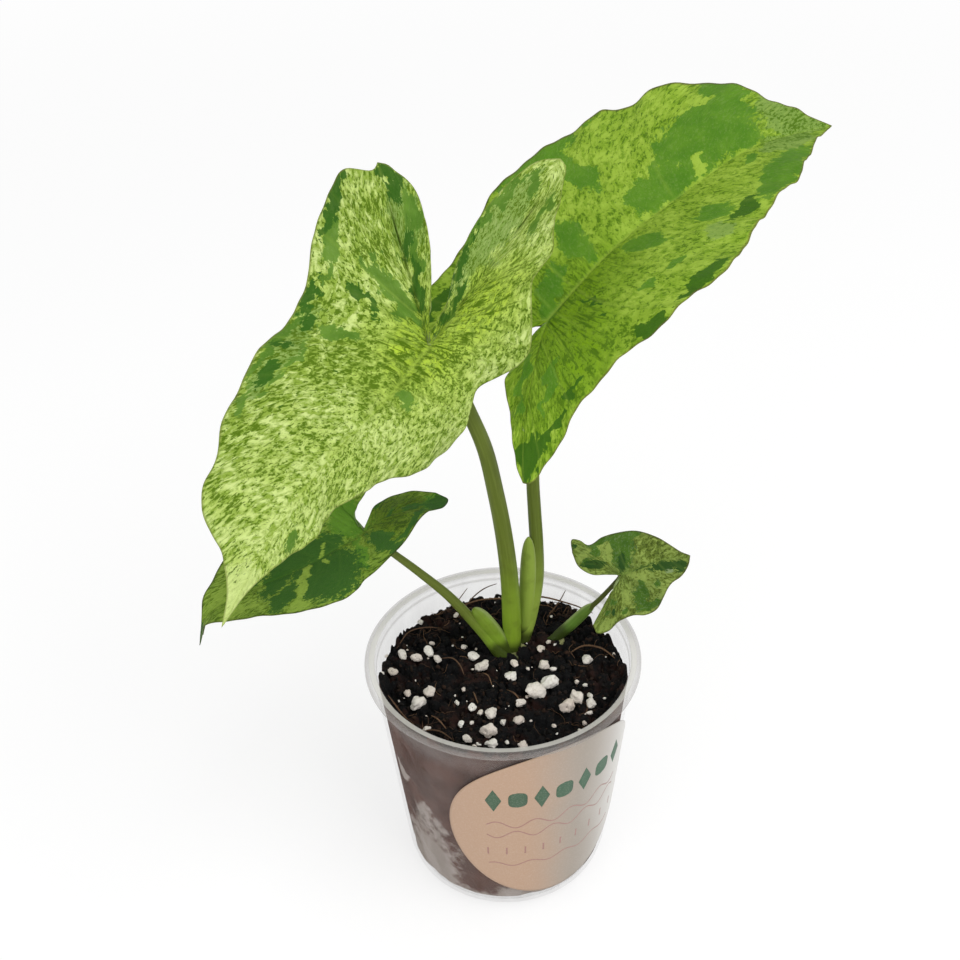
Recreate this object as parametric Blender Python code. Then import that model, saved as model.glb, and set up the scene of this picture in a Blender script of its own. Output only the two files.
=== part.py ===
"""Potted syngonium: four variegated arrow leaves in a clear nursery cup.

Lengths in the tables are millimetres; meshes are written in metres, +Z up.
The origin is the centre of the cup's base on the surface it stands on.
"""
import math

import bmesh
import bpy
import numpy as np

MM = 0.001
GAP = 0.3                       # clearance that touching pieces keep

# Nursery cup
RIM_RADIUS = 33.0
CUP_HEIGHT = 63.0
RIM_HEIGHT = 1.8                # depth of the rolled lip
WALL = 0.8
WALL_TOP_RADIUS = 31.1          # outside of the wall just under the lip
BASE_RADIUS = 24.9              # outside of the wall, carried down to the base
CORNER_RADIUS = 3.5
CUP_SIDES = 48
DRAIN_HOLES = 5
DRAIN_RADIUS = 2.0
DRAIN_CIRCLE = 14.0

# Round label on the wall
LABEL_RADIUS = 27.0
LABEL_THICKNESS = 0.3
LABEL_CENTRE_HEIGHT = 33.5
LABEL_TURN = 27.0               # degrees round from the front, towards +X

# Soil
SOIL_TOP = 56.3
SOIL_FLOOR = 1.3
SOIL_SIDES = 36
SOIL_RINGS = 9
MOUND_HEIGHT = 1.2              # rise of the soil round the crown
MOUND_WIDTH = 11.0
WAVE_HEIGHT = 0.25              # of the soil's gentle waves

# Crown and roots
CROWN_PLACE = (2.3, 8.6)
SHOOT_PLACE = (13.8, 11.0)
CROWN_TOP = 57.8
CROWN_FOOT = 42.0
CROWN_RADIUS = 6.0
SHOOT_FOOT = 47.0
SHOOT_RADIUS = 2.2
FOOT_SHARES = (0.5, 0.7, 0.95, 1.0, 0.85)   # a foot's radius from its bottom to its top
ROOTS = [                       # turn in degrees, reach, height of the root's tip
    (20, 17, 30),
    (95, 12, 22),
    (165, 18, 34),
    (235, 20, 18),
    (305, 19, 26),
]
ROOT_RADIUS = 0.9
ROOT_STEPS = 8

BLADE_THICKNESS = 0.5
LOBE_STEPS = 6                  # cross lines of a blade's mesh over half of a lobe
BLADE_STEPS = 14                # and from the joint to the tip
VEIN_ROWS = 5                   # places along each cross line
MIDRIB_SAMPLES = 400
PETIOLE_STEPS = 14

# Each blade is drawn flat as (along, across) from the place where its petiole joins, then bent.
# midrib: two places behind the joint, the joint, then on to the tip, as (x, y, z).
# left: direction of the left half at the joint. sweep: how far the bends lean back.
# bends: rows of (along, fold in degrees, curl in degrees each 10 mm), raised is positive.
# inner and outer: a lobe's edge from the joint to the lobe's tip, and from there to the leaf's tip.
# shoulder: which place of outer is level with the joint. vein: end of the lobe's main vein.
LEAVES = {
    "a": {
        "midrib": [(7.5, 7, 172), (-2.5, 0, 162.5), (-13, -6, 152), (-21.5, -15, 145.5),
                   (-31, -26, 141), (-41, -39, 134), (-54, -47, 114.5)],
        "left": (-0.8, 0.35, 0.5),
        "sweep": 0.8,
        "left_bends": [(-40, 22, -6), (0, 12, -6), (40, 3, -5), (80, 8, -5)],
        "right_bends": [(-40, 35, -4), (-10, 32, -6), (8, -4, -16), (25, -10, -26), (40, -18, -28),
                        (60, -22, -30), (75, -10, -10)],
        "left_inner": [(-1, 1.5), (-11, 8.5), (-18, 15.5), (-22.5, 22.5), (-22.5, 27)],
        "left_outer": [(-22.5, 27), (-20.5, 31), (-16.5, 35.5), (-10.5, 35.5), (-2, 32), (5.5, 27),
                       (11, 25.5), (24, 25), (32.5, 22), (38, 20.5), (44.5, 17), (49.5, 16),
                       (55, 12), (59, 6), (64.5, 2.5), (72, 0)],
        "left_shoulder": 5,
        "left_vein": (-14, 24),
        "right_inner": [(-1, 1.5), (-8, 2.5), (-15.5, 6), (-27.5, 8.5), (-36, 7.5), (-43, 2)],
        "right_outer": [(-43, 2), (-39, -3), (-34, -5.5), (-29, -9), (-23.5, -9.5), (-16.5, -13.5),
                        (-11, -16.5), (-6, -16), (1, -14), (5, -16.5), (11, -20.5), (17.5, -17),
                        (24, -13), (31.5, -10), (39, -8), (49.5, -7.5), (56.5, -3.5), (62, -1.5),
                        (72, 0)],
        "right_shoulder": 8,
        "right_vein": (-34, 1),
    },
    "b": {
        "midrib": [(-13, 0, 121.5), (-1.5, 9.5, 132.5), (11.5, 20, 142.5), (27.5, 33, 153.5),
                   (45.5, 46, 161), (59.5, 54, 166.5), (78, 60, 168.5)],
        "left": (-0.52, 0.85, 0.08),
        "sweep": 0.0,
        "left_bends": [(-50, 14, -5), (0, 22, -4), (40, 18, -4), (80, 14, -4)],
        "right_bends": [(-40, 0, -6), (-10, 10, -6), (10, 22, -5), (40, 20, -4), (80, 14, -4)],
        "left_inner": [(-1, -0.3), (-8, 4), (-16, 9), (-22, 15), (-24, 20)],
        "left_outer": [(-24, 20), (-20, 24.5), (-9, 27), (4.5, 28), (14.5, 31.5), (23, 33),
                       (32, 32.5), (40.5, 32.5), (47, 32.5), (53, 29.5), (58.5, 29.5), (64, 26),
                       (70.5, 19), (77.5, 8.5), (84, 0)],
        "left_shoulder": 3,
        "left_vein": (-15, 17),
        "right_inner": [(-1, -0.3), (-8, -0.2), (-15.5, -2.4), (-21.2, -8.4), (-28.2, -16.5),
                        (-32.6, -21.5)],
        "right_outer": [(-32.6, -21.5), (-32, -24), (-28, -24.8), (-21.5, -24.5), (-13.5, -23.5),
                        (-5, -24.5), (3.5, -28.8), (11, -33), (17.5, -33.8), (24, -35.5), (32.5, -32),
                        (44.5, -27), (52.5, -24), (61.5, -21.5), (71, -14), (78.5, -5), (84, 0)],
        "right_shoulder": 6,
        "right_vein": (-23, -17),
    },
    "c": {
        "midrib": [(-24, 19, 101.5), (-28, 10, 100), (-31, 4, 98), (-38, 0, 95.5),
                   (-48, -7, 94.5), (-57, -13, 94.5), (-64.5, -18, 92), (-66.5, -19, 85.5)],
        "left": (-0.35, 0.92, 0.18),
        "sweep": 0.0,
        "left_bends": [(-50, 10, -5), (0, 12, -5), (80, 10, -5)],
        "right_bends": [(-40, 6, -5), (0, 12, -5), (80, 10, -5)],
        "left_inner": [(-0.5, 0.3), (-4, 2.5), (-9.5, 3.5), (-14, 5), (-18.5, 8), (-21.5, 12)],
        "left_outer": [(-21.5, 12), (-20.5, 15), (-14, 15.5), (-6, 14), (4, 14.5), (12, 15),
                       (20, 13.5), (25, 12.2), (31.5, 9.3), (35.5, 6), (39, 3.6), (41.5, 1.2), (48.5, 0)],
        "left_shoulder": 4,
        "left_vein": (-13, 9.5),
        "right_inner": [(-0.5, 0.3), (-4, 0.6), (-7.5, 0.6), (-11.5, -1.6), (-13.8, -5), (-15.6, -11)],
        "right_outer": [(-15.6, -11), (-15, -14.4), (-12, -14.7), (-9, -12.8), (-4.3, -12),
                        (0.5, -12), (4, -13.5), (10.5, -14.7), (19.5, -14.3), (25, -12),
                        (30.5, -10), (36, -7.2), (40, -3.6), (43, -1), (48.5, 0)],
        "right_shoulder": 5,
        "right_vein": (-11, -7.5),
    },
    "d": {
        "midrib": [(21.5, 10, 75), (25, 9.5, 77), (28.5, 9, 79), (31, 8.5, 80.5),
                   (34, 8.5, 82.5), (37.5, 8, 84.5), (44, 7, 86)],
        "left": (0.2, 0.6, 0.78),
        "sweep": 0.0,
        "left_bends": [(-50, 8, -8), (0, 12, -8), (80, 10, -8)],
        "right_bends": [(-40, 8, -8), (0, 12, -8), (80, 10, -8)],
        "left_inner": [(-0.3, 0.1), (-4, 1.4), (-6.8, 2.4), (-9.5, 5.5), (-9.8, 9)],
        "left_outer": [(-9.8, 9), (-8.6, 12), (-7, 11.2), (-5.3, 9.4), (-1.5, 10), (3.5, 9.5), (7.5, 8.3),
                       (11, 5.5), (13.5, 3), (15.5, 1.2), (17.5, 0)],
        "left_shoulder": 3,
        "left_vein": (-6, 6.5),
        "right_inner": [(-0.3, 0.1), (-1.5, -1.7), (-4, -3.8), (-7, -6.5), (-10, -9.3)],
        "right_outer": [(-10, -9.3), (-9.5, -11.5), (-7, -12), (-3, -10.5), (0, -10.3), (3, -11),
                        (6, -10.6), (8.5, -8.5), (12, -6), (15, -4.5), (17, -1.8), (17.5, 0)],
        "right_shoulder": 4,
        "right_vein": (-6, -7.5),
    },
}

# Petioles rise from the crown as (x, y, z); each ends just under its blade.
# radii: at the foot and at the blade.
PETIOLES = {
    "a": {"route": [(2.4, 8.5, 58.2), (2.4, 8, 66.5), (2, 7, 81.5), (1, 6, 94), (-0.6, 4, 107.5),
                    (-3, 1.5, 122.5), (-5.5, -0.5, 131.5), (-9, -3, 142.5), (-13, -6, 152)],
          "radii": (2.15, 1.4)},
    "b": {"route": [(5.2, 11.9, 58.3), (6.4, 12, 62.5), (7.5, 12.2, 67.5), (8.7, 12.5, 76.5),
                    (8.7, 13, 85.5), (8.3, 14, 95), (8, 15, 103), (8.4, 16, 113.5),
                    (9.2, 17.5, 126), (11.5, 20, 142.5)],
          "radii": (1.7, 1.3)},
    "c": {"route": [(-1.3, 6.2, 58.9), (-3.3, 6.4, 62.2), (-7.6, 6.4, 69), (-12.3, 6.2, 76),
                    (-18.6, 5.8, 83.5), (-24.7, 5, 90.5), (-31, 4, 98)],
          "radii": (1.5, 0.9)},
    "d": {"route": [(13.8, 11, 58.8), (16.0, 11, 61), (20.3, 10.5, 66.5), (23.1, 10, 70),
                    (26.1, 9.5, 74.5), (28.5, 9, 79)],
          "radii": (1.2, 0.65)},
}

# Sheaths, the wings that held the next leaf, along the foot of their petiole.
# route: foot to top. width and thickness: at the middle.
SHEATHS = {
    "b": {"route": [(5.4, 12.2, 59.4), (5.8, 11.9, 66), (6.3, 11.9, 76), (6.8, 12.0, 88)],
          "width": 3.4, "thickness": 1.8},
    "c": {"route": [(-1.7, 7.2, 59.9), (-2.3, 7.6, 63), (-3.6, 7.7, 67.2), (-5.4, 7.3, 71.3)],
          "width": 3.3, "thickness": 2.0},
    "d": {"route": [(14.4, 11, 59.5), (17.2, 11, 62.3), (20.3, 10.6, 66.5), (22.3, 10.2, 69.2)],
          "width": 3.0, "thickness": 2.0},
}

# Perlite grains on the soil, as (x, y, size)
PERLITE = [
    (-24.5, 6.6, 2.6), (-21.0, 5.2, 2.4), (-18.0, 7.4, 2.7), (-16.0, 5.1, 2.0), (-26.5, 0.8, 2.1),
    (-7.2, 5.1, 2.6), (-4.8, 1.8, 3.2), (-22.8, -6.4, 1.9), (-20.0, -10.3, 3.8), (-17.4, -6.6, 2.8),
    (-7.5, -12.1, 1.9), (-3.0, -14.4, 2.6), (-3.5, -20.5, 3.4), (-3.0, -23.7, 2.5), (-8.5, -22.1, 1.9),
    (9.5, 6.8, 2.2), (20.5, 3.1, 2.7), (10.0, 1.4, 2.7), (11.3, -4.7, 4.0), (7.4, -7.9, 4.0),
    (2.6, 1.9, 1.9), (2.0, -1.9, 2.6), (4.0, -10.9, 2.1), (3.5, -16.4, 2.6), (-0.5, -17.1, 1.9),
    (17.2, -10.1, 3.4), (15.0, -13.2, 3.2), (20.4, -11.7, 2.5), (4.0, -24.8, 2.5),
]

# Finishes as (colour, roughness)
FINISHES = {
    "clear_plastic": ((0.55, 0.52, 0.49), 0.35),
    "label_paper": ((0.62, 0.50, 0.40), 0.6),
    "soil": ((0.012, 0.008, 0.006), 0.95),
    "blade": ((0.32, 0.50, 0.12), 0.45),
    "blade_dark": ((0.05, 0.18, 0.05), 0.45),
    "petiole": ((0.20, 0.28, 0.06), 0.4),
    "crown": ((0.22, 0.30, 0.08), 0.5),
    "perlite": ((0.75, 0.72, 0.63), 0.9),
}

# Perlite: how far a grain strays from round, and its size along x, y and z as shares
GRAIN_ROUGHNESS = 0.12
GRAIN_SHAPE = (1, 0.92, 0.78)


def unit(vectors):
    """Return the vectors scaled to length one."""
    return vectors / np.linalg.norm(vectors, axis=-1, keepdims=True)


def smooth_curve(points, samples):
    """Sample a smooth curve through points: a cubic between each pair of neighbours."""
    points = np.asarray(points, float)
    knots = np.concatenate([[0], np.cumsum(np.linalg.norm(np.diff(points, axis=0), axis=1))])
    return through(np.linspace(0, knots[-1], samples), knots, points)


def through(places, knots, values):
    """Cubic Hermite interpolation with slopes from the neighbouring knots."""
    knots = np.asarray(knots, float)
    values = np.asarray(values, float)
    slopes = np.gradient(values, knots, axis=0)
    places = np.clip(places, knots[0], knots[-1])
    cell = np.clip(np.searchsorted(knots, places, side="right") - 1, 0, len(knots) - 2)
    span = knots[cell + 1] - knots[cell]
    u = (places - knots[cell]) / span
    if values.ndim > 1:
        u = u[..., None]
        span = span[..., None]
    start = (2 * u**3 - 3 * u**2 + 1) * values[cell] + (u**3 - 2 * u**2 + u) * span * slopes[cell]
    end = (3 * u**2 - 2 * u**3) * values[cell + 1] + (u**3 - u**2) * span * slopes[cell + 1]
    return start + end


def midrib_frame(leaf):
    """Return length along the midrib, its points, and its forward, left and up directions."""
    rough = np.asarray(leaf["midrib"], float)
    points = smooth_curve(rough, MIDRIB_SAMPLES)
    steps = np.linalg.norm(np.diff(points, axis=0), axis=1)
    along = np.concatenate([[0], np.cumsum(steps)])
    knots = np.concatenate([[0], np.cumsum(np.linalg.norm(np.diff(rough, axis=0), axis=1))])
    joint = np.interp(knots[2], np.linspace(0, knots[-1], MIDRIB_SAMPLES), along)
    along = along - joint
    forward = unit(np.gradient(points, along, axis=0))
    left = unit(np.asarray(leaf["left"], float))
    left = unit(left - (forward @ left)[:, None] * forward)
    up = np.cross(forward, left)
    if up[:, 2].mean() < 0:
        up = -up
    return along, points, forward, left, up


def bend(leaf, flat):
    """Carry flat (along, across) places onto the bent blade.

    Each cross line leaves the midrib at its fold angle and turns by its curl as it goes out,
    so it is an arc in the plane of the left and up directions.
    """
    along, points, forward, left, up = midrib_frame(leaf)
    s, t = flat[..., 0], flat[..., 1]
    distance = np.abs(t)
    leaning = s + leaf["sweep"] * distance
    fold = np.zeros_like(s)
    curl = np.zeros_like(s)
    for side, rows in ((t >= 0, leaf["left_bends"]), (t < 0, leaf["right_bends"])):
        rows = np.asarray(rows, float)
        fold = np.where(side, through(leaning, rows[:, 0], rows[:, 1]), fold)
        curl = np.where(side, through(leaning, rows[:, 0], rows[:, 2]), curl)
    fold = np.radians(fold)
    curl = np.radians(curl) / 10
    curl = np.where(np.abs(curl) < 1e-5, 1e-5, curl)
    outward = (np.sin(fold + curl * distance) - np.sin(fold)) / curl
    raised = (np.cos(fold) - np.cos(fold + curl * distance)) / curl

    def read(table):
        return np.stack([np.interp(s, along, table[:, axis]) for axis in range(3)], -1)

    past = s - np.clip(s, along[0], along[-1])
    place = read(points) + past[..., None] * read(forward)
    place = place + (np.sign(t) * outward)[..., None] * read(left)
    return place + raised[..., None] * read(up)


def half_blade(leaf, side, lobe_steps, blade_steps, rows):
    """Return one half of a flat blade as a grid of (along, across), cross lines first.

    Each cross line runs straight from a skeleton to the edge. The skeleton goes out along the
    lobe's main vein and back, and then along the midrib to the tip, as the side veins do.
    """
    inner = smooth_curve(leaf[side + "_inner"], lobe_steps + 1)
    corners = np.asarray(leaf[side + "_outer"], float)
    knots = np.concatenate([[0], np.cumsum(np.linalg.norm(np.diff(corners, axis=0), axis=1))])
    turn = knots[leaf[side + "_shoulder"]]
    shoulder = through(np.linspace(0, turn, lobe_steps + 1)[1:], knots, corners)
    margin = through(np.linspace(turn, knots[-1], blade_steps + 1)[1:], knots, corners)
    edge = np.concatenate([inner, shoulder, margin])

    out = np.linspace(0, 1, lobe_steps + 1)[:, None] * np.asarray(leaf[side + "_vein"], float)
    share = np.linspace(0, 1, blade_steps + 1)[1:] ** 1.2
    midrib = np.stack([corners[-1, 0] * share, np.zeros(blade_steps)], -1)
    skeleton = np.concatenate([out, out[-2::-1], midrib])
    across = np.linspace(0, 1, rows)[None, :, None]
    return skeleton[:, None] * (1 - across) + edge[:, None] * across


def grid_faces(lines, places, flip=False):
    """Return the quads of a grid whose points are numbered line by line."""
    corner = (np.arange(lines - 1)[:, None] * places + np.arange(places - 1)[None, :]).ravel()
    quads = np.stack([corner, corner + 1, corner + places + 1, corner + places], -1)
    return quads[:, ::-1] if flip else quads


def finish_material(name):
    """Return the named material, made once."""
    material = bpy.data.materials.get(name)
    if material is None:
        colour, roughness = FINISHES[name]
        material = bpy.data.materials.new(name)
        material.use_nodes = True
        shader = material.node_tree.nodes["Principled BSDF"]
        shader.inputs["Base Color"].default_value = (*colour, 1)
        shader.inputs["Roughness"].default_value = roughness
        shader.inputs["Metallic"].default_value = 0.0
        material.diffuse_color = (*colour, 1)
    return material


def add_object(name, points, faces, finish):
    """Make a mesh object from points in millimetres."""
    mesh = bpy.data.meshes.new(name)
    mesh.from_pydata((np.asarray(points, float) * MM).tolist(), [], [list(face) for face in faces])
    obj = bpy.data.objects.new(name, mesh)
    bpy.context.scene.collection.objects.link(obj)
    mesh.materials.append(finish_material(finish))
    return obj


def weld(obj, distance=0.01):
    """Merge the points of a mesh that lie within a distance in millimetres, and face it out."""
    shape = bmesh.new()
    shape.from_mesh(obj.data)
    bmesh.ops.remove_doubles(shape, verts=shape.verts, dist=distance * MM)
    bmesh.ops.recalc_face_normals(shape, faces=shape.faces)
    shape.to_mesh(obj.data)
    shape.free()
    obj.data.shade_smooth()


def boolean(obj, other, operation):
    """Join another object to this one or cut it away, for good."""
    modifier = obj.modifiers.new(operation.title(), "BOOLEAN")
    modifier.operation = operation
    modifier.solver = "EXACT"
    modifier.object = other
    graph = bpy.context.evaluated_depsgraph_get()
    mesh = bpy.data.meshes.new_from_object(obj.evaluated_get(graph))
    obj.modifiers.clear()
    obj.data = mesh
    bpy.data.objects.remove(other)


def ring_faces(rings, sides):
    """Return the quads between rings of points, and a flat face at each end."""
    here = np.arange(sides)
    following = np.roll(here, -1)
    faces = []
    for low in range(0, (rings - 1) * sides, sides):
        quads = np.stack([low + here, low + following, low + sides + following, low + sides + here], -1)
        faces += quads.tolist()
    last = (rings - 1) * sides
    return [*faces, here[::-1].tolist(), (last + here).tolist()]


def turned(name, profile, sides, finish, centre=(0, 0)):
    """Turn a profile of (radius, height) about a vertical axis and close both its ends flat."""
    profile = np.asarray(profile, float)
    angle = np.linspace(0, 2 * math.pi, sides, endpoint=False)
    x = profile[:, :1] * np.cos(angle) + centre[0]
    y = profile[:, :1] * np.sin(angle) + centre[1]
    z = np.repeat(profile[:, 1:], sides, axis=1)
    obj = add_object(name, np.stack([x, y, z], -1).reshape(-1, 3),
                     ring_faces(len(profile), sides), finish)
    weld(obj)
    return obj


def tube(name, route, widths, depths, across, sides, finish):
    """Carry an oval along a route of places and close both its ends flat.

    widths and depths are half sizes at each place; widths are measured towards across.
    """
    route = np.asarray(route, float)
    across = np.asarray(across, float)
    forward = unit(np.gradient(route, axis=0))
    side = unit(across - (forward @ across)[:, None] * forward)
    normal = np.cross(forward, side)
    angle = np.linspace(0, 2 * math.pi, sides, endpoint=False)
    rings = (route[:, None] + side[:, None] * (widths[:, None] * np.cos(angle))[..., None]
             + normal[:, None] * (depths[:, None] * np.sin(angle))[..., None])
    obj = add_object(name, rings.reshape(-1, 3), ring_faces(len(route), sides), finish)
    weld(obj)
    return obj


def wall_radius(height):
    """Outside radius of the cup's wall at a height."""
    share = height / (CUP_HEIGHT - RIM_HEIGHT)
    return BASE_RADIUS + (WALL_TOP_RADIUS - BASE_RADIUS) * share


def soil_height(x, y):
    """Height of the soil: level, with a low mound round the crown and gentle waves."""
    away = np.hypot(x - CROWN_PLACE[0], y - CROWN_PLACE[1])
    mound = MOUND_HEIGHT * np.exp(-(away / MOUND_WIDTH) ** 2)
    waves = WAVE_HEIGHT * np.sin(0.42 * x + 0.6) * np.cos(0.37 * y - 0.4)
    return SOIL_TOP + mound + waves


def build_cup():
    """The cup: a tapered wall with a rounded foot, a rolled lip and holes round the base."""
    corner = [(BASE_RADIUS - CORNER_RADIUS + CORNER_RADIUS * math.sin(turn),
               CORNER_RADIUS - CORNER_RADIUS * math.cos(turn))
              for turn in np.radians([0, 22, 45, 68, 86])]
    lip_foot = CUP_HEIGHT - RIM_HEIGHT
    inside_top = wall_radius(CUP_HEIGHT) - WALL
    lip = [(WALL_TOP_RADIUS, lip_foot), (RIM_RADIUS - 0.3, lip_foot), (RIM_RADIUS, lip_foot + 0.4),
           (RIM_RADIUS, CUP_HEIGHT - 0.6), (RIM_RADIUS - 0.6, CUP_HEIGHT),
           (inside_top + 0.6, CUP_HEIGHT), (inside_top, CUP_HEIGHT - 0.6)]
    middle = [(wall_radius(height), height) for height in (CORNER_RADIUS + 1, 20, 40)]
    inner_foot = CORNER_RADIUS - WALL
    inside = [(radius - WALL, height) for radius, height in middle[::-1]]
    inside += [(BASE_RADIUS - WALL - inner_foot + inner_foot * math.sin(turn),
                CORNER_RADIUS - inner_foot * math.cos(turn))
               for turn in np.radians([86, 60, 30, 0])]
    profile = [*corner, *middle, *lip, *inside]
    cup = turned("cup", profile, CUP_SIDES, "clear_plastic")
    for hole in range(DRAIN_HOLES):
        turn = 2 * math.pi * hole / DRAIN_HOLES + math.pi / 2
        place = (DRAIN_CIRCLE * math.cos(turn), DRAIN_CIRCLE * math.sin(turn))
        ends = [(DRAIN_RADIUS, -1), (DRAIN_RADIUS, WALL + 1)]
        boolean(cup, turned("drain_cutter", ends, 12, "clear_plastic", place), "DIFFERENCE")
    cup.data.set_sharp_from_angle(angle=math.radians(50))


def build_label():
    """The label: a thin disc wrapped on the wall, just clear of it."""
    rings, spokes = 6, 40
    angle = np.linspace(0, 2 * math.pi, spokes, endpoint=False)
    radius = np.linspace(0, LABEL_RADIUS, rings + 1)[1:, None]
    run = np.concatenate([[0], (radius * np.cos(angle)).ravel()])
    height = np.concatenate([[0], (radius * np.sin(angle)).ravel()]) + LABEL_CENTRE_HEIGHT
    middle_radius = wall_radius(LABEL_CENTRE_HEIGHT)
    turn = np.radians(LABEL_TURN) + run / middle_radius
    layers = []
    for lift in (GAP, GAP + LABEL_THICKNESS):
        reach = wall_radius(height) + lift
        layers.append(np.stack([reach * np.sin(turn), -reach * np.cos(turn), height], -1))
    following = np.roll(np.arange(spokes), -1)
    count = rings * spokes + 1
    faces = []
    for layer in (0, 1):
        low = layer * count
        sheet = [(low, low + 1 + k, low + 1 + following[k]) for k in range(spokes)]
        for ring in range(rings - 1):
            start = low + 1 + ring * spokes
            sheet += [(start + k, start + spokes + k, start + spokes + following[k],
                       start + following[k]) for k in range(spokes)]
        faces += sheet if layer else [face[::-1] for face in sheet]
    rim = count - spokes
    faces += [(rim + k, rim + following[k], count + rim + following[k], count + rim + k)
              for k in range(spokes)]
    weld(add_object("label", np.concatenate(layers), faces, "label_paper"), 0.001)


def crown_shapes(spread):
    """The buried crown with its roots, and the side shoot's foot, grown by spread."""
    def foot(name, place, low, radius):
        radii = [share * radius + spread for share in FOOT_SHARES]
        heights = [low - spread, low + 5, CROWN_TOP - 4, CROWN_TOP - 1, CROWN_TOP + 4 * spread]
        return turned(name, list(zip(radii, heights)), 16, "crown", place)

    crown = foot("crown", CROWN_PLACE, CROWN_FOOT, CROWN_RADIUS)
    shoot = foot("side_shoot", SHOOT_PLACE, SHOOT_FOOT, SHOOT_RADIUS)
    for turn, reach, tip in ROOTS:
        way = np.array([math.cos(math.radians(turn)), math.sin(math.radians(turn))])
        start = np.array([*CROWN_PLACE, CROWN_FOOT + 4])
        end = np.array([*(CROWN_PLACE + way * (reach + spread)), tip - spread])
        bow = np.array([*(CROWN_PLACE + way * 0.7 * reach), CROWN_FOOT - 2])
        route = smooth_curve([start, bow, end], ROOT_STEPS)
        radii = np.linspace(ROOT_RADIUS, 0.5 * ROOT_RADIUS, ROOT_STEPS) + spread
        boolean(crown, tube("root", route, radii, radii, (way[1], -way[0], 0), 8, "crown"), "UNION")
    return crown, shoot


def build_soil():
    """The soil: fills the cup to just under the lip, with room for what grows in it."""
    side_gap = WALL + GAP
    angle = np.linspace(0, 2 * math.pi, SOIL_SIDES, endpoint=False)
    edge = wall_radius(SOIL_TOP) - side_gap
    radius = np.linspace(0, edge, SOIL_RINGS + 1)[1:, None]
    x, y = radius * np.cos(angle), radius * np.sin(angle)
    top = np.stack([x, y, soil_height(x, y)], -1)
    below = [(wall_radius(30) - side_gap, 30),
             (wall_radius(CORNER_RADIUS) - side_gap, CORNER_RADIUS + 1),
             (BASE_RADIUS - CORNER_RADIUS - 0.5, SOIL_FLOOR)]
    sides = [np.stack([reach * np.cos(angle), reach * np.sin(angle), np.full(SOIL_SIDES, height)], -1)
             for reach, height in below]
    points = np.concatenate([[(0, 0, soil_height(0, 0))], top.reshape(-1, 3), *sides,
                             [(0, 0, SOIL_FLOOR)]])
    following = np.roll(np.arange(SOIL_SIDES), -1)
    faces = [(0, 1 + k, 1 + following[k]) for k in range(SOIL_SIDES)]
    rings = SOIL_RINGS + len(below)
    for ring in range(rings - 1):
        low = 1 + ring * SOIL_SIDES
        faces += [(low + k, low + SOIL_SIDES + k, low + SOIL_SIDES + following[k],
                   low + following[k]) for k in range(SOIL_SIDES)]
    last = 1 + (rings - 1) * SOIL_SIDES
    faces += [(len(points) - 1, last + following[k], last + k) for k in range(SOIL_SIDES)]
    soil = add_object("soil", points, faces, "soil")
    weld(soil)
    for cutter in crown_shapes(GAP + 0.05):
        boolean(soil, cutter, "DIFFERENCE")


def build_blade(name, leaf):
    """A blade: its two flat halves bent into place, welded on the midrib and given thickness."""
    points, faces = [], []
    lines = 2 * LOBE_STEPS + BLADE_STEPS + 1
    for side in ("left", "right"):
        flat = half_blade(leaf, side, LOBE_STEPS, BLADE_STEPS, VEIN_ROWS)
        placed = bend(leaf, flat).reshape(-1, 3)
        faces += (grid_faces(lines, VEIN_ROWS, flip=side == "left") + len(points)).tolist()
        points += placed.tolist()
    finish = "blade_dark" if name == "c" else "blade"
    obj = add_object("blade_" + name, points, faces, finish)
    weld(obj)
    solid = obj.modifiers.new("Thickness", "SOLIDIFY")
    solid.thickness = BLADE_THICKNESS * MM
    solid.offset = -1


def build_petiole(name):
    """A petiole from the crown to just under its blade, with the sheath at its foot if it has one."""
    spec = PETIOLES[name]
    _, points, _, _, up = midrib_frame(LEAVES[name])
    joint = np.asarray(LEAVES[name]["midrib"][2], float)
    nearest = np.argmin(np.linalg.norm(points - joint, axis=1))
    foot_radius, top_radius = spec["radii"]
    clear = BLADE_THICKNESS + GAP + 1.4 * top_radius
    route = [*spec["route"][:-1], joint - up[nearest] * clear]
    places = smooth_curve(route, PETIOLE_STEPS)
    radii = np.linspace(foot_radius, top_radius, PETIOLE_STEPS)
    petiole = tube("petiole_" + name, places, radii, radii, (1, 0.2, 0), 8, "petiole")
    if name in SHEATHS:
        sheath = SHEATHS[name]
        swell = np.array([0.75, 0.95, 1, 1, 1, 0.97, 0.9, 0.75, 0.45])
        places = smooth_curve(sheath["route"], len(swell))
        wing = tube("sheath", places, swell * sheath["width"] / 2, swell * sheath["thickness"] / 2,
                    (1, 0, -0.4), 10, "petiole")
        boolean(petiole, wing, "UNION")


def build_perlite():
    """Perlite: rough round grains that lie on the soil."""
    for number, (x, y, size) in enumerate(PERLITE, 1):
        shape = bmesh.new()
        bmesh.ops.create_icosphere(shape, subdivisions=1, radius=1)
        points = np.array([vertex.co[:] for vertex in shape.verts])
        faces = [[vertex.index for vertex in face.verts] for face in shape.faces]
        shape.free()
        waves = np.sin(3.1 * points[:, 0] + 1.7 * number) * np.cos(2.7 * points[:, 1] + number)
        rough = 1 + GRAIN_ROUGHNESS * waves
        points = points * rough[:, None] * (size / 2) * np.array(GRAIN_SHAPE)
        rest = soil_height(x, y) + GAP + 0.05 - points[:, 2].min()
        points += (x, y, rest)
        add_object(f"perlite_{number:02d}", points, faces, "perlite")


def main():
    """Build every piece of the potted plant."""
    for obj in list(bpy.data.objects):
        bpy.data.objects.remove(obj)
    build_cup()
    build_label()
    build_soil()
    crown_shapes(0)
    for name, leaf in LEAVES.items():
        build_blade(name, leaf)
        build_petiole(name)
    build_perlite()


main()
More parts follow.
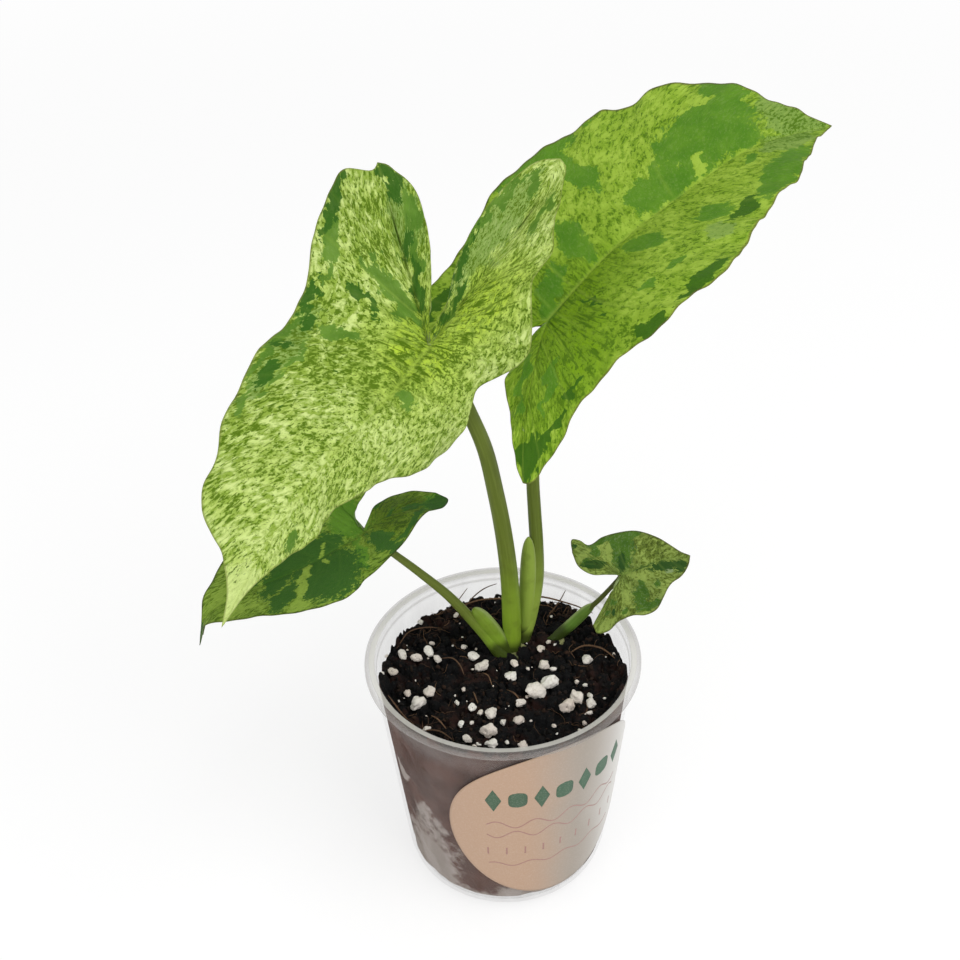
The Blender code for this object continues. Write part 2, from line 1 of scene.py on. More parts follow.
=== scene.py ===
"""Looks of a potted syngonium: variegated blades, stalks, soil, perlite, clear cup and label.

The tables are in millimetres and degrees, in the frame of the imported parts: +Z up, with the origin at
the centre of the cup's base. Meshes are written in metres. Each surface is a function of two
parameters, worked out with numpy as whole arrays, and each finish is a class that lays a material.
"""

import logging
import math
from dataclasses import dataclass, field, replace
from enum import Enum

import bmesh
import bpy
import numpy as np
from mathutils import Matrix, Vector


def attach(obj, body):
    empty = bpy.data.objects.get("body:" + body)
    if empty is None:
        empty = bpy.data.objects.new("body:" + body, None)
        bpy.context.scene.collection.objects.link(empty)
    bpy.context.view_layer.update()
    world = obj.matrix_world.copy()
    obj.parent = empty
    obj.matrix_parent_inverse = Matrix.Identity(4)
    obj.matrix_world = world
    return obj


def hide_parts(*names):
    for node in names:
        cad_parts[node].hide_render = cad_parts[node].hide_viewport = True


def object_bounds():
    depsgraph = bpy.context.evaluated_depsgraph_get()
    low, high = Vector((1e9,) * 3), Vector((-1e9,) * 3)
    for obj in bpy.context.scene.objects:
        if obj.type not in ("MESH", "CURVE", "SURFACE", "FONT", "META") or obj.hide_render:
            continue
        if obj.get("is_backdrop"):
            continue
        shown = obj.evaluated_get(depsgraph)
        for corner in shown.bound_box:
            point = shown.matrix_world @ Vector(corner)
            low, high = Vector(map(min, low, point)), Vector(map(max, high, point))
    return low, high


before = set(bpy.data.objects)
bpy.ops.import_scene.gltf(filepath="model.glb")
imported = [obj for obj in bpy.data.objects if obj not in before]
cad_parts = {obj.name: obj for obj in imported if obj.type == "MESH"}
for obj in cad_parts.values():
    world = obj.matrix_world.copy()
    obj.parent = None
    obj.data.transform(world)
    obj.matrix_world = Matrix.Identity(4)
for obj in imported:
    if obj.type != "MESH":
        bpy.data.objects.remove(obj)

LOG = logging.getLogger("potted_syngonium")
MM = 0.001
BODY = "root"
MIDRIB_SAMPLES = 400     # places along a blade's midrib at which its directions are kept
RIB_SAMPLES = 60         # places along each rib under a blade
SMALL_SEEDS = 40         # seed of the first of the smaller perlite grains
DUST_SEEDS = 200         # seed of the first of the smallest ones

Array = np.ndarray
Place = tuple[float, float]
Point = tuple[float, float, float]
Oval = tuple[float, float, float, float]
Colour = tuple[float, float, float, float]
Socket = bpy.types.NodeSocket
Value = Socket | float
Surface = tuple[Array, list[list[int]]]
Material = bpy.types.Material
Piece = bpy.types.Object


# ---- numbers and curves


def unit(vectors: Array) -> Array:
    """Return the vectors scaled to length one."""
    return vectors / np.linalg.norm(vectors, axis=-1, keepdims=True)


def ease(values: Array, low: float = 0.0, high: float = 1.0) -> Array:
    """Rise smoothly from 0 at low to 1 at high: 3u squared less 2u cubed."""
    share = np.clip((np.asarray(values, float) - low) / (high - low), 0, 1)
    return share * share * (3 - 2 * share)


def through(places: Array, knots: Array, values: Array) -> Array:
    """Read a smooth curve that passes through known values.

    It is the cubic Hermite curve whose slope at each knot comes from the neighbouring knots.

    Args:
        places: Where to read it, clipped to the knots' range.
        knots: Rising places at which the values are known.
        values: One value, or one row of values, for each knot.

    Returns:
        The curve's value or row of values at each place.
    """
    knots = np.asarray(knots, float)
    values = np.asarray(values, float)
    slopes = np.gradient(values, knots, axis=0)
    places = np.clip(places, knots[0], knots[-1])
    cell = np.clip(np.searchsorted(knots, places, side="right") - 1, 0, len(knots) - 2)
    span = knots[cell + 1] - knots[cell]
    u = (places - knots[cell]) / span
    if values.ndim > 1:
        u = u[..., None]
        span = span[..., None]
    start = (2 * u**3 - 3 * u**2 + 1) * values[cell] + (u**3 - 2 * u**2 + u) * span * slopes[cell]
    end = (3 * u**2 - 2 * u**3) * values[cell + 1] + (u**3 - u**2) * span * slopes[cell + 1]
    return start + end


def travelled(points: Array) -> Array:
    """Return the length along a row of points at each of them."""
    steps = np.linalg.norm(np.diff(np.asarray(points, float), axis=0), axis=-1)
    return np.concatenate([[0.0], np.cumsum(steps)])


def smooth_curve(points: Array, samples: int) -> Array:
    """Sample a smooth curve through a row of points, evenly along it."""
    knots = travelled(points)
    return through(np.linspace(0, knots[-1], samples), knots, points)


def lumps(points: Array, rng: np.random.Generator, waves: int, size: float) -> Array:
    """Work out a soft random height of about -1 to 1.

    It is a sum of sine waves in random directions, whose lengths lie between half of and twice
    the size, scaled by the square root of their number.

    Args:
        points: Places in any number of dimensions.
        rng: What draws the waves.
        waves: Their number.
        size: Their usual length.

    Returns:
        The height at each point.
    """
    ways = unit(rng.normal(size=(waves, points.shape[-1])))
    pace = 2 * np.pi / (size * rng.uniform(0.5, 2.0, waves))
    phase = rng.uniform(0, 2 * np.pi, waves)
    return np.sin(points @ (ways * pace[:, None]).T + phase).sum(-1) / math.sqrt(waves)


def turns(count: int) -> Array:
    """Return turns in radians, evenly spaced round a circle."""
    return np.linspace(0, 2 * np.pi, count, endpoint=False)


def around(radius: Array | float, turn: Array, height: Array | float) -> Array:
    """Return places at distances from the upright axis, at turns round it, and at heights."""
    radius, turn, height = np.broadcast_arrays(radius, turn, height)
    return np.stack([radius * np.cos(turn), radius * np.sin(turn), height], -1)


def circle(sides: int) -> Array:
    """Return evenly spaced places on a circle of radius one, as x and y."""
    return around(1.0, turns(sides), 0.0)[:, :2]


def rounded_off(share: Array) -> Array:
    """Return a width that stays near 1 and closes round where the share nears 1."""
    return np.sqrt(np.clip(1 - share**7, 0.02, 1))


def strewn(rng: np.random.Generator, count: int, edge: float) -> Array:
    """Draw random places spread evenly over a disc.

    Args:
        rng: What draws them.
        count: Their number.
        edge: The disc's radius.

    Returns:
        A row of x and a row of y.
    """
    away = edge * np.sqrt(rng.uniform(0, 1, count))
    turn = rng.uniform(0, 2 * np.pi, count)
    return np.stack([away * np.cos(turn), away * np.sin(turn)])


def tint(code: str) -> Colour:
    """Turn a display colour into a linear one.

    Args:
        code: Six hexadecimal digits.

    Returns:
        Red, green, blue and 1.
    """
    shown = np.array([int(code[k:k + 2], 16) for k in (0, 2, 4)]) / 255
    linear = np.where(shown <= 0.04045, shown / 12.92, ((shown + 0.055) / 1.055) ** 2.4)
    return (*linear.tolist(), 1.0)


# ---- meshes


def grid_faces(lines: int, places: int, wrap: bool = False, flip: bool = False) -> Array:
    """Return the quads of a grid of points numbered line by line.

    Args:
        lines: Number of lines.
        places: Number of points on each line.
        wrap: Whether each line closes on its own first point.
        flip: Whether the faces turn the other way.

    Returns:
        Four point numbers for each quad.
    """
    here = np.arange(places if wrap else places - 1)
    following = (here + 1) % places
    low = np.arange(lines - 1)[:, None] * places
    quads = np.stack([low + here, low + following, low + places + following, low + places + here], -1)
    quads = quads.reshape(-1, 4)
    return quads[:, ::-1] if flip else quads


def closed_faces(lines: int, places: int, flip: bool = False) -> list[list[int]]:
    """Return the faces of a closed surface: a pole, rings of points one after another, and a pole.

    Args:
        lines: Number of rings.
        places: Number of points on each ring.
        flip: Whether the faces turn the other way.

    Returns:
        The point numbers of each face.
    """
    here = np.arange(places)
    following = (here + 1) % places
    last = 1 + (lines - 1) * places
    order = [0, 2, 1] if flip else [0, 1, 2]
    near = np.stack([0 * here, following + 1, here + 1], -1)[:, order]
    far = np.stack([0 * here + last + places, last + here, last + following], -1)[:, order]
    quads = grid_faces(lines, places, wrap=True, flip=flip) + 1
    return [*quads.tolist(), *near.tolist(), *far.tolist()]


def ball(fine: int) -> tuple[Array, Array]:
    """Make a ball of radius one from an icosahedron whose faces are divided again and again.

    Args:
        fine: How often they are divided.

    Returns:
        The points, and the corners of each face.
    """
    mesh = bmesh.new()
    bmesh.ops.create_icosphere(mesh, subdivisions=fine, radius=1)
    points = np.array([vertex.co[:] for vertex in mesh.verts])
    faces = np.array([[vertex.index for vertex in face.verts] for face in mesh.faces])
    mesh.free()
    return points, faces


class Shape:
    """Points and faces gathered for one piece, with the values that its material reads."""

    def __init__(self) -> None:
        """Start with nothing gathered."""
        self.points: list[Array] = []
        self.faces: list[list[int]] = []
        self.values: dict[str, list[Array]] = {}
        self.count = 0

    def add(self, points: Array, faces: Array, **values: Array | float) -> None:
        """Gather a surface.

        Args:
            points: Its places in millimetres, in any grid whose last axis is x, y, z.
            faces: Point numbers of each face, counted from its own first point.
            values: What the material reads at each point, or one number for all of them.
        """
        points = np.asarray(points, float).reshape(-1, 3)
        self.faces += [[int(corner) + self.count for corner in face] for face in faces]
        self.points.append(points)
        self.count += len(points)
        for name, value in values.items():
            wide = np.asarray(value, float)
            wide = np.full(len(points), float(wide)) if wide.ndim == 0 else wide
            self.values.setdefault(name, []).append(wide.reshape(len(points), -1))

    def build(self, name: str, *finishes: Material, merge: float = 0.0) -> Piece:
        """Make the piece's object at the origin.

        Args:
            name: The piece's name.
            finishes: Its materials, the first of them on every face.
            merge: Distance in millimetres below which points become one, or 0 for none.

        Returns:
            The new object.
        """
        mesh = bpy.data.meshes.new(name)
        mesh.from_pydata((np.concatenate(self.points) * MM).tolist(), [], self.faces)
        corners = np.zeros(len(mesh.loops), np.int32)
        mesh.loops.foreach_get("vertex_index", corners)
        for key, parts in self.values.items():
            values = np.concatenate(parts).astype(np.float32)
            if values.shape[1] == 2:
                mesh.uv_layers.new(name=key).data.foreach_set("uv", values[corners].ravel())
            else:
                layer = mesh.attributes.new(key, "FLOAT", "POINT")
                layer.data.foreach_set("value", values.ravel())
        if merge:
            welded = bmesh.new()
            welded.from_mesh(mesh)
            bmesh.ops.remove_doubles(welded, verts=welded.verts, dist=merge * MM)
            welded.to_mesh(mesh)
            welded.free()
        mesh.shade_smooth()
        for finish in finishes:
            mesh.materials.append(finish)
        piece = bpy.data.objects.new(name, mesh)
        bpy.context.scene.collection.objects.link(piece)
        return piece


def ring_tube(route: Array, rings: Array, across: Array) -> Surface:
    """Carry a closed section along a route.

    Args:
        route: Places along the middle.
        rings: For each place, the section's points as (towards across, towards its normal).
        across: Direction, or one direction for each place, that the section is measured towards.

    Returns:
        The points, ring by ring with a pole before and after them, and the faces.
    """
    route = np.asarray(route, float)
    forward = unit(np.gradient(route, axis=0))
    across = np.broadcast_to(np.asarray(across, float), route.shape)
    side = unit(across - (forward * across).sum(-1, keepdims=True) * forward)
    normal = np.cross(forward, side)
    body = route[:, None] + side[:, None] * rings[..., :1] + normal[:, None] * rings[..., 1:]
    points = np.concatenate([route[:1], body.reshape(-1, 3), route[-1:]])
    return points, closed_faces(len(route), rings.shape[1])


def round_rings(radii: Array, sides: int, flatness: float = 1.0) -> Array:
    """Return oval sections, radius by radius, whose second half size is flatness times the first."""
    return np.asarray(radii, float)[:, None, None] * circle(sides) * (1, flatness)


# ---- materials


class Shader:
    """A node material, with short calls that add a node and return what it gives."""

    def __init__(self, name: str) -> None:
        """Start a material that holds only its Principled shader and output.

        Args:
            name: The material's name.
        """
        self.material = bpy.data.materials.new(name)
        self.material.use_nodes = True
        self.tree = self.material.node_tree
        self.principled = self.tree.nodes["Principled BSDF"]

    def feed(self, socket: Socket, value: object) -> None:
        """Link another node's output to a socket, or set the socket to a constant."""
        if isinstance(value, Socket):
            self.tree.links.new(value, socket)
        else:
            socket.default_value = value

    def node(self, kind: str, inputs: dict[str | int, object] | None = None,
             **settings: object) -> bpy.types.Node:
        """Add a node.

        Args:
            kind: Its type, without the leading "ShaderNode".
            inputs: Sockets by name or number, each given a value or another node's output.
            settings: The node's own properties.

        Returns:
            The node.
        """
        made = self.tree.nodes.new("ShaderNode" + kind)
        for key, value in settings.items():
            setattr(made, key, value)
        for key, value in (inputs or {}).items():
            self.feed(made.inputs[key], value)
        return made

    def place(self, stretch: Point = (1, 1, 1)) -> Socket:
        """Return the object's own coordinates in metres, stretched along each axis."""
        coordinates = self.node("TexCoord").outputs["Object"]
        return self.node("Mapping", {"Vector": coordinates, "Scale": stretch}).outputs["Vector"]

    def flow(self, stretch: Point = (1, 1, 1)) -> Socket:
        """Return the piece's own flow map, stretched along each axis."""
        mapped = self.node("UVMap", uv_map="flow").outputs["UV"]
        return self.node("Mapping", {"Vector": mapped, "Scale": stretch}).outputs["Vector"]

    def value(self, name: str) -> Socket:
        """Return a value that the mesh carries at its points."""
        return self.node("Attribute", attribute_name=name).outputs["Fac"]

    def noise(self, vector: Socket, scale: float, detail: float = 3.0, rough: float = 0.55,
              bent: float = 0.0) -> Socket:
        """Add a cloudy value of about 0.3 to 0.7.

        Args:
            vector: Where it is read.
            scale: How fine its clouds are.
            detail: Number of finer layers.
            rough: How strongly they show.
            bent: How far they are pulled about.

        Returns:
            The value.
        """
        inputs = {"Vector": vector, "Scale": scale, "Detail": detail, "Roughness": rough,
                  "Distortion": bent}
        return self.node("TexNoise", inputs).outputs["Fac"]

    def sum(self, first: Value, second: Value, times: float = 1.0) -> Socket:
        """Return the first value plus the second one times a number."""
        inputs = {0: second, 1: times, 2: first}
        return self.node("Math", inputs, operation="MULTIPLY_ADD").outputs[0]

    def times(self, first: Value, second: Value) -> Socket:
        """Return the product of two values, kept within 0 and 1."""
        return self.node("Math", {0: first, 1: second}, operation="MULTIPLY", use_clamp=True).outputs[0]

    def step(self, value: Socket, low: float, high: float, top: float = 1.0) -> Socket:
        """Return a value that rises smoothly from 0 at low to top at high."""
        inputs = {"Value": value, "From Min": low, "From Max": high, "To Max": top}
        return self.node("MapRange", inputs, interpolation_type="SMOOTHSTEP").outputs[0]

    def mix(self, share: Value, first: Socket | Colour | str, second: Socket | Colour | str) -> Socket:
        """Return the first colour turned into the second by a share; a string is a display colour."""
        first, second = (tint(part) if isinstance(part, str) else part for part in (first, second))
        return self.node("Mix", {0: share, 6: first, 7: second}, data_type="RGBA").outputs[2]

    def bump(self, height: Socket, depth: float) -> None:
        """Give the surface fine relief, whose height is depth in metres where the value is 1."""
        made = self.node("Bump", {"Height": height, "Distance": depth, "Strength": 1.0})
        self.feed(self.principled.inputs["Normal"], made.outputs["Normal"])

    def dress(self, colour: Socket, roughness: Value, **settings: Value) -> Material:
        """Join the colour and roughness to the shader and set its other sockets.

        Args:
            colour: The surface's colour.
            roughness: A value, or a number that is the same all over.
            settings: Other sockets of the shader by name, with "_" for a space.

        Returns:
            The finished material.
        """
        for name, value in {"Base_Color": colour, "Roughness": roughness, **settings}.items():
            self.feed(self.principled.inputs[name.replace("_", " ")], value)
        return self.material


class Finish:
    """A kind of surface, which lays its own nodes in each material made of it."""

    def material(self, name: str) -> Material:
        """Make a material of this finish.

        Args:
            name: The material's name.

        Returns:
            The material.
        """
        shader = Shader(name)
        self.lay(shader)
        return shader.material

    def lay(self, shader: Shader) -> None:
        """Lay the finish's colours and relief in the material that the shader is making."""
        raise NotImplementedError


class Tone(Enum):
    """Kinds of colour patch on a blade, each carried by its points under this name."""

    SOLID = "solid"
    DARK = "dark"
    # Silvery variegation, and in places painted sheen.
    SILVER = "silver"
    PALE = "pale"
    FLECK = "fleck"
    GLOW = "glow"


@dataclass(frozen=True)
class LeafFinish(Finish):
    """A variegated blade: pale ground, fine flecks along the veins, and ragged green patches.

    Attributes:
        light, pale: The ground's two tints.
        fleck, deep_fleck: The flecks' two tints; deep_fleck also paints the shade of the grooves near the
            joint.
        solid, solid_shade: The plain green patches.
        dark, silver, glow, vein, margin: The other tints, the silver partly painted sheen.
        cover: Share of the ground that flecks cover, about.
        grain: Flecks in each 10 mm across the veins.
        streak: A fleck's width as a share of its length.
        torn: How raggedly the patches' edges are torn.
        crinkle: Depth of the fine relief in millimetres.
        under: How far the colours fade towards grey green, as they do on the underside.
    """

    light: str
    pale: str
    fleck: str
    deep_fleck: str
    solid: str
    solid_shade: str
    dark: str
    silver: str
    glow: str
    vein: str
    margin: str
    cover: float
    grain: float
    streak: float
    torn: float
    crinkle: float = 0.13
    under: float = 0.0

    def lay(self, shader: Shader) -> None:
        """Lay the ground, flecks, patches, veins and margin one over another."""
        cloud = shader.noise(shader.place(), 170.0, 3.0)
        along = (1.0, self.streak, 1.0)
        mottle = shader.noise(shader.flow(along), self.grain, 6.0, 0.68, 0.5)
        specks = shader.noise(shader.flow(along), 2.3 * self.grain, 4.0, 0.62, 0.7)
        shorter = (1.0, 0.8 * self.streak, 1.0)
        ragged = shader.noise(shader.flow(shorter), 0.75 * self.grain, 6.0, 0.68, 0.4)

        ground = shader.mix(shader.step(cloud, 0.38, 0.62), self.light, self.pale)
        ground = shader.mix(shader.times(shader.value(Tone.GLOW.value), 0.85), ground, self.glow)
        level = shader.sum(mottle, shader.value(Tone.FLECK.value), 0.07)
        middle = 0.5 - 0.35 * (self.cover - 0.5)
        colour = shader.mix(shader.step(level, middle - 0.09, middle + 0.10), ground, self.fleck)
        tear = shader.sum(shader.sum(-0.85 * self.torn, ragged, self.torn), specks, 0.7 * self.torn)
        # Silver patches: silvery variegation, and in places painted sheen on the lobes.
        for tone, patch in ((Tone.PALE, self.light), (Tone.SILVER, self.silver)):
            reach = shader.sum(shader.value(tone.value), tear)
            colour = shader.mix(shader.step(reach, 0.44, 0.58, 0.7), colour, patch)
        level = shader.sum(shader.sum(specks, mottle, 0.6), shader.value(Tone.FLECK.value), 0.06)
        level = shader.sum(shader.sum(level, cloud, 0.35), shader.value(Tone.PALE.value), -0.09)
        middle = 1.05 - 0.35 * (self.cover - 0.5)
        deep = shader.step(level, middle - 0.04, middle + 0.05, 0.95)
        colour = shader.mix(deep, colour, self.deep_fleck)
        # Painted shade: dark streaks in the glow near the joint stand for the shade in its grooves.
        painted_groove_shade = shader.noise(shader.flow((1.0, 0.12, 1.0)), 1.7 * self.grain, 4.0, 0.6)
        painted_groove_shade = shader.times(shader.step(painted_groove_shade, 0.50, 0.62, 1.2), shader.value(Tone.GLOW.value))
        colour = shader.mix(painted_groove_shade, colour, self.deep_fleck)

        solids = shader.mix(shader.step(cloud, 0.36, 0.64), self.solid, self.solid_shade)
        solids = shader.mix(shader.step(specks, 0.50, 0.64, 0.3), solids, self.silver)
        for tone, patch in ((Tone.SOLID, solids), (Tone.DARK, self.dark)):
            reach = shader.sum(shader.value(tone.value), tear)
            colour = shader.mix(shader.step(reach, 0.46, 0.55, 0.95), colour, patch)
        colour = shader.mix(shader.times(shader.value("vein"), 0.6), colour, self.vein)
        brim = shader.step(shader.sum(shader.value("edge"), ragged), 0.75, 1.3, 0.6)
        colour = shader.mix(brim, colour, self.margin)
        if self.under:
            colour = shader.mix(self.under, colour, "9fb183")
        pores = shader.noise(shader.place(), 5200.0, 2.0, 0.6)
        shader.bump(shader.sum(pores, mottle, 2.2), self.crinkle * MM)
        rough = shader.sum(0.38 + 0.15 * bool(self.under), cloud, 0.2)
        shader.dress(colour, rough, Specular_IOR_Level=0.13)


@dataclass(frozen=True)
class StalkFinish(Finish):
    """A petiole's skin: lines run along it, and its colour changes from the foot to the blade."""

    foot: str = "8dab35"
    stem: str = "6c7a2e"
    top: str = "6d7c2c"
    lip: str = "a9b67c"

    def lay(self, shader: Shader) -> None:
        """Lay three colours by the rise, then the lines, the lips and painted shade at the foot."""
        lines = shader.noise(shader.flow((1.0, 0.05, 1.0)), 9.0, 3.0, 0.6)
        cloud = shader.noise(shader.place(), 240.0, 3.0)
        rise = shader.sum(shader.value("rise"), cloud, 0.12)
        colour = shader.mix(shader.step(rise, 0.12, 0.46), self.foot, self.stem)
        colour = shader.mix(shader.step(rise, 0.75, 1.1), colour, self.top)
        colour = shader.mix(shader.step(lines, 0.42, 0.70, 0.13), colour, "9caf52")
        colour = shader.mix(shader.step(cloud, 0.5, 0.7, 0.22), colour, "55611f")
        colour = shader.mix(shader.times(shader.value("lip"), 0.5), colour, self.lip)
        length = shader.node("SeparateXYZ", {0: shader.flow()}).outputs["Y"]
        # Painted shade: darker towards the foot, where it meets the soil.
        painted_foot_shade = shader.step(shader.sum(length, cloud, 0.3), 0.92, 0.60, 0.88)
        colour = shader.mix(painted_foot_shade, colour, "2c3612")
        shader.bump(shader.sum(lines, cloud, 0.3), 0.00012)
        shader.dress(colour, 0.45, Specular_IOR_Level=0.16)


@dataclass(frozen=True)
class SoilFinish(Finish):
    """Damp potting soil: near black with brown bits, redder where it is pressed to the plastic."""

    dark: str = "0a0a0b"
    brown: str = "1b1411"
    # grey: partly grey bits, partly painted glints.
    grey: str = "2c2d2f"
    pressed: str = "5f443c"
    # gap: painted light, the pale grey that shows through the plastic where the soil has come away.
    gap: str = "b3aaa4"

    def lay(self, shader: Shader) -> None:
        """Lay the crumbs, the pressed side, and painted light where the soil came away and in the window."""
        bits = shader.noise(shader.place(), 520.0, 4.0, 0.7, 0.4)
        fine = shader.noise(shader.place(), 2400.0, 3.0, 0.7)
        wide = shader.noise(shader.place(), 130.0, 3.0, 0.6)
        colour = shader.mix(shader.step(bits, 0.57, 0.72, 0.9), self.dark, self.brown)
        # Grey specks: partly grey bits, partly painted glints on the damp crumbs.
        colour = shader.mix(shader.step(fine, 0.56, 0.7, 0.6), colour, self.grey)
        colour = shader.mix(shader.step(wide, 0.50, 0.66, 0.5), colour, "3c221a")
        pressed = shader.mix(shader.step(wide, 0.38, 0.62), self.pressed, "4b342d")
        pressed = shader.mix(shader.step(bits, 0.5, 0.68, 0.4), pressed, "70564a")
        pressed = shader.mix(shader.step(bits, 0.68, 0.74, 0.4), pressed, "b0a69c")
        colour = shader.mix(shader.value("side"), colour, pressed)
        # Painted light where the soil has come away from the plastic: pale greys, and near white in the
        # window.
        drawn = shader.noise(shader.place((1.0, 1.0, 0.35)), 200.0, 3.0)
        level = shader.sum(shader.value("gap"), bits, 0.9)
        painted_gap_light = shader.mix(shader.step(drawn, 0.38, 0.62), self.gap, "a0978f")
        colour = shader.mix(shader.step(level, 0.74, 1.18, 0.85), colour, painted_gap_light)
        colour = shader.mix(shader.step(level, 1.75, 1.85), colour, "efece6")
        crumbly = shader.sum(1.0, shader.value("side"), -0.9)
        shader.bump(shader.times(shader.sum(fine, bits), crumbly), 0.0004)
        shader.dress(colour, 0.9, Specular_IOR_Level=0.2)


@dataclass(frozen=True)
class GrainFinish(Finish):
    """Small dry or mineral bits whose tint differs from bit to bit and cloudily over each."""

    first: str
    second: str
    third: str
    size: float = 900.0
    roughness: float = 0.9

    def lay(self, shader: Shader) -> None:
        """Lay two tints by the bit's own shade, the third in clouds, and painted shade in the pits."""
        cloud = shader.noise(shader.place(), self.size, 4.0, 0.65)
        colour = shader.mix(shader.value("shade"), self.first, self.second)
        colour = shader.mix(shader.step(cloud, 0.5, 0.72, 0.6), colour, self.third)
        # Painted shade: darker in each pit, standing for the shade in its hollow.
        colour = shader.mix(shader.step(shader.value("pit"), 0.45, 0.9, 0.9), colour, "2b211a")
        shader.bump(cloud, 0.0003)
        shader.dress(colour, self.roughness, Specular_IOR_Level=0.25)


@dataclass(frozen=True)
class PlasticFinish(Finish):
    """Thin clouded clear plastic, hazier where the mesh says so, with faint drawn streaks and painted
    highlight.
    """

    colour: str = "a7a09c"
    haze: float = 0.08

    def lay(self, shader: Shader) -> None:
        """Lay clouds, and let haze set how little shows through and where it is paler."""
        streaks = shader.noise(shader.place((1.0, 1.0, 0.08)), 330.0, 4.0, 0.6)
        cloud = shader.noise(shader.place(), 90.0, 4.0, 0.6)
        colour = shader.mix(shader.step(cloud, 0.4, 0.6), self.colour, "b4afac")
        # Painted highlight, partly real frosting: where haze is high, on the lip's top, it is paler.
        colour = shader.mix(shader.step(shader.value("haze"), 0.3, 0.6), colour, "dcd9d2")
        alpha = shader.sum(shader.sum(-0.10, streaks, 0.12), cloud, 0.08)
        alpha = shader.sum(alpha, shader.value("haze"))
        shader.bump(shader.sum(streaks, cloud, 0.5), 0.0001)
        rough = shader.sum(0.16, cloud, 0.14)
        shader.dress(colour, rough, Alpha=alpha, Specular_IOR_Level=0.4)


@dataclass(frozen=True)
class PaperFinish(Finish):
    """Soft matt label stock, or the ink printed on it, with painted shade darker and warmer on one side."""

    # colour is the lit tint; middle and shade paint the shade, darker and warmer towards the left.
    colour: str = "f0efec"
    middle: str = "aaa095"
    shade: str = "bb9c84"

    def lay(self, shader: Shader) -> None:
        """Lay three tints as painted shade, from the lit side to the shaded one, then fibres."""
        fibres = shader.noise(shader.place(), 2600.0, 4.0, 0.7)
        cloud = shader.noise(shader.place(), 45.0, 2.0)
        side = shader.sum(shader.sum(-0.1, cloud, 0.2), shader.value("shade"))
        # Painted shade across the label, from colour on the lit right to shade on the left.
        colour = shader.mix(shader.step(side, 0.0, 0.62), self.colour, self.middle)
        colour = shader.mix(shader.step(side, 0.55, 1.0), colour, self.shade)
        colour = shader.mix(shader.step(fibres, 0.45, 0.75, 0.12), colour, "f0e9e0")
        shader.bump(fibres, 0.00004)
        shader.dress(colour, 0.55, Specular_IOR_Level=0.3)


# ---- blades


@dataclass(frozen=True)
class Patch:
    """An oval on a flat blade: where its middle is, its half sizes, and any turn in degrees."""

    along: float
    across: float
    length: float
    width: float
    turn: float = 0.0

    def strength(self, flat: Array) -> Array:
        """Work out how strongly the patch shows: 1.5 less the way out in ovals, within 0 and 1.

        Args:
            flat: Places on the flat blade.

        Returns:
            1 well inside, one half on the oval, and 0 from half its size beyond it.
        """
        turn = math.radians(self.turn)
        x = flat[..., 0] - self.along
        y = flat[..., 1] - self.across
        u = (x * math.cos(turn) + y * math.sin(turn)) / self.length
        v = (y * math.cos(turn) - x * math.sin(turn)) / self.width
        return np.clip(1.5 - np.hypot(u, v), 0, 1)


@dataclass(frozen=True)
class Half:
    """One half of a flat blade, whose places are (along, across) from where the petiole joins.

    Attributes:
        inner: Edge of its lobe from the joint to the lobe's tip.
        outer: Edge from there on to the leaf's tip.
        shoulder: Which place of outer, counted from 1, is level with the joint.
        vein: End of the lobe's main vein.
        bends: Rows of (along, fold in degrees, curl in degrees each 10 mm), raised is positive.
        bow: How far sideways that vein bows midway.
        fine: How much shorter its flecks are along the side veins than the finish says.
    """

    inner: list[Place]
    outer: list[Place]
    shoulder: int
    vein: Place
    bends: list[Point]
    bow: float = 0.0
    fine: float = 1.0

    def main_vein(self, share: Array) -> Array:
        """Return the lobe's main vein: straight to its end, plus the bow as a parabola across."""
        bowed = share * self.vein[1] + 4 * share * (1 - share) * self.bow
        return np.stack([share * self.vein[0], bowed], -1)


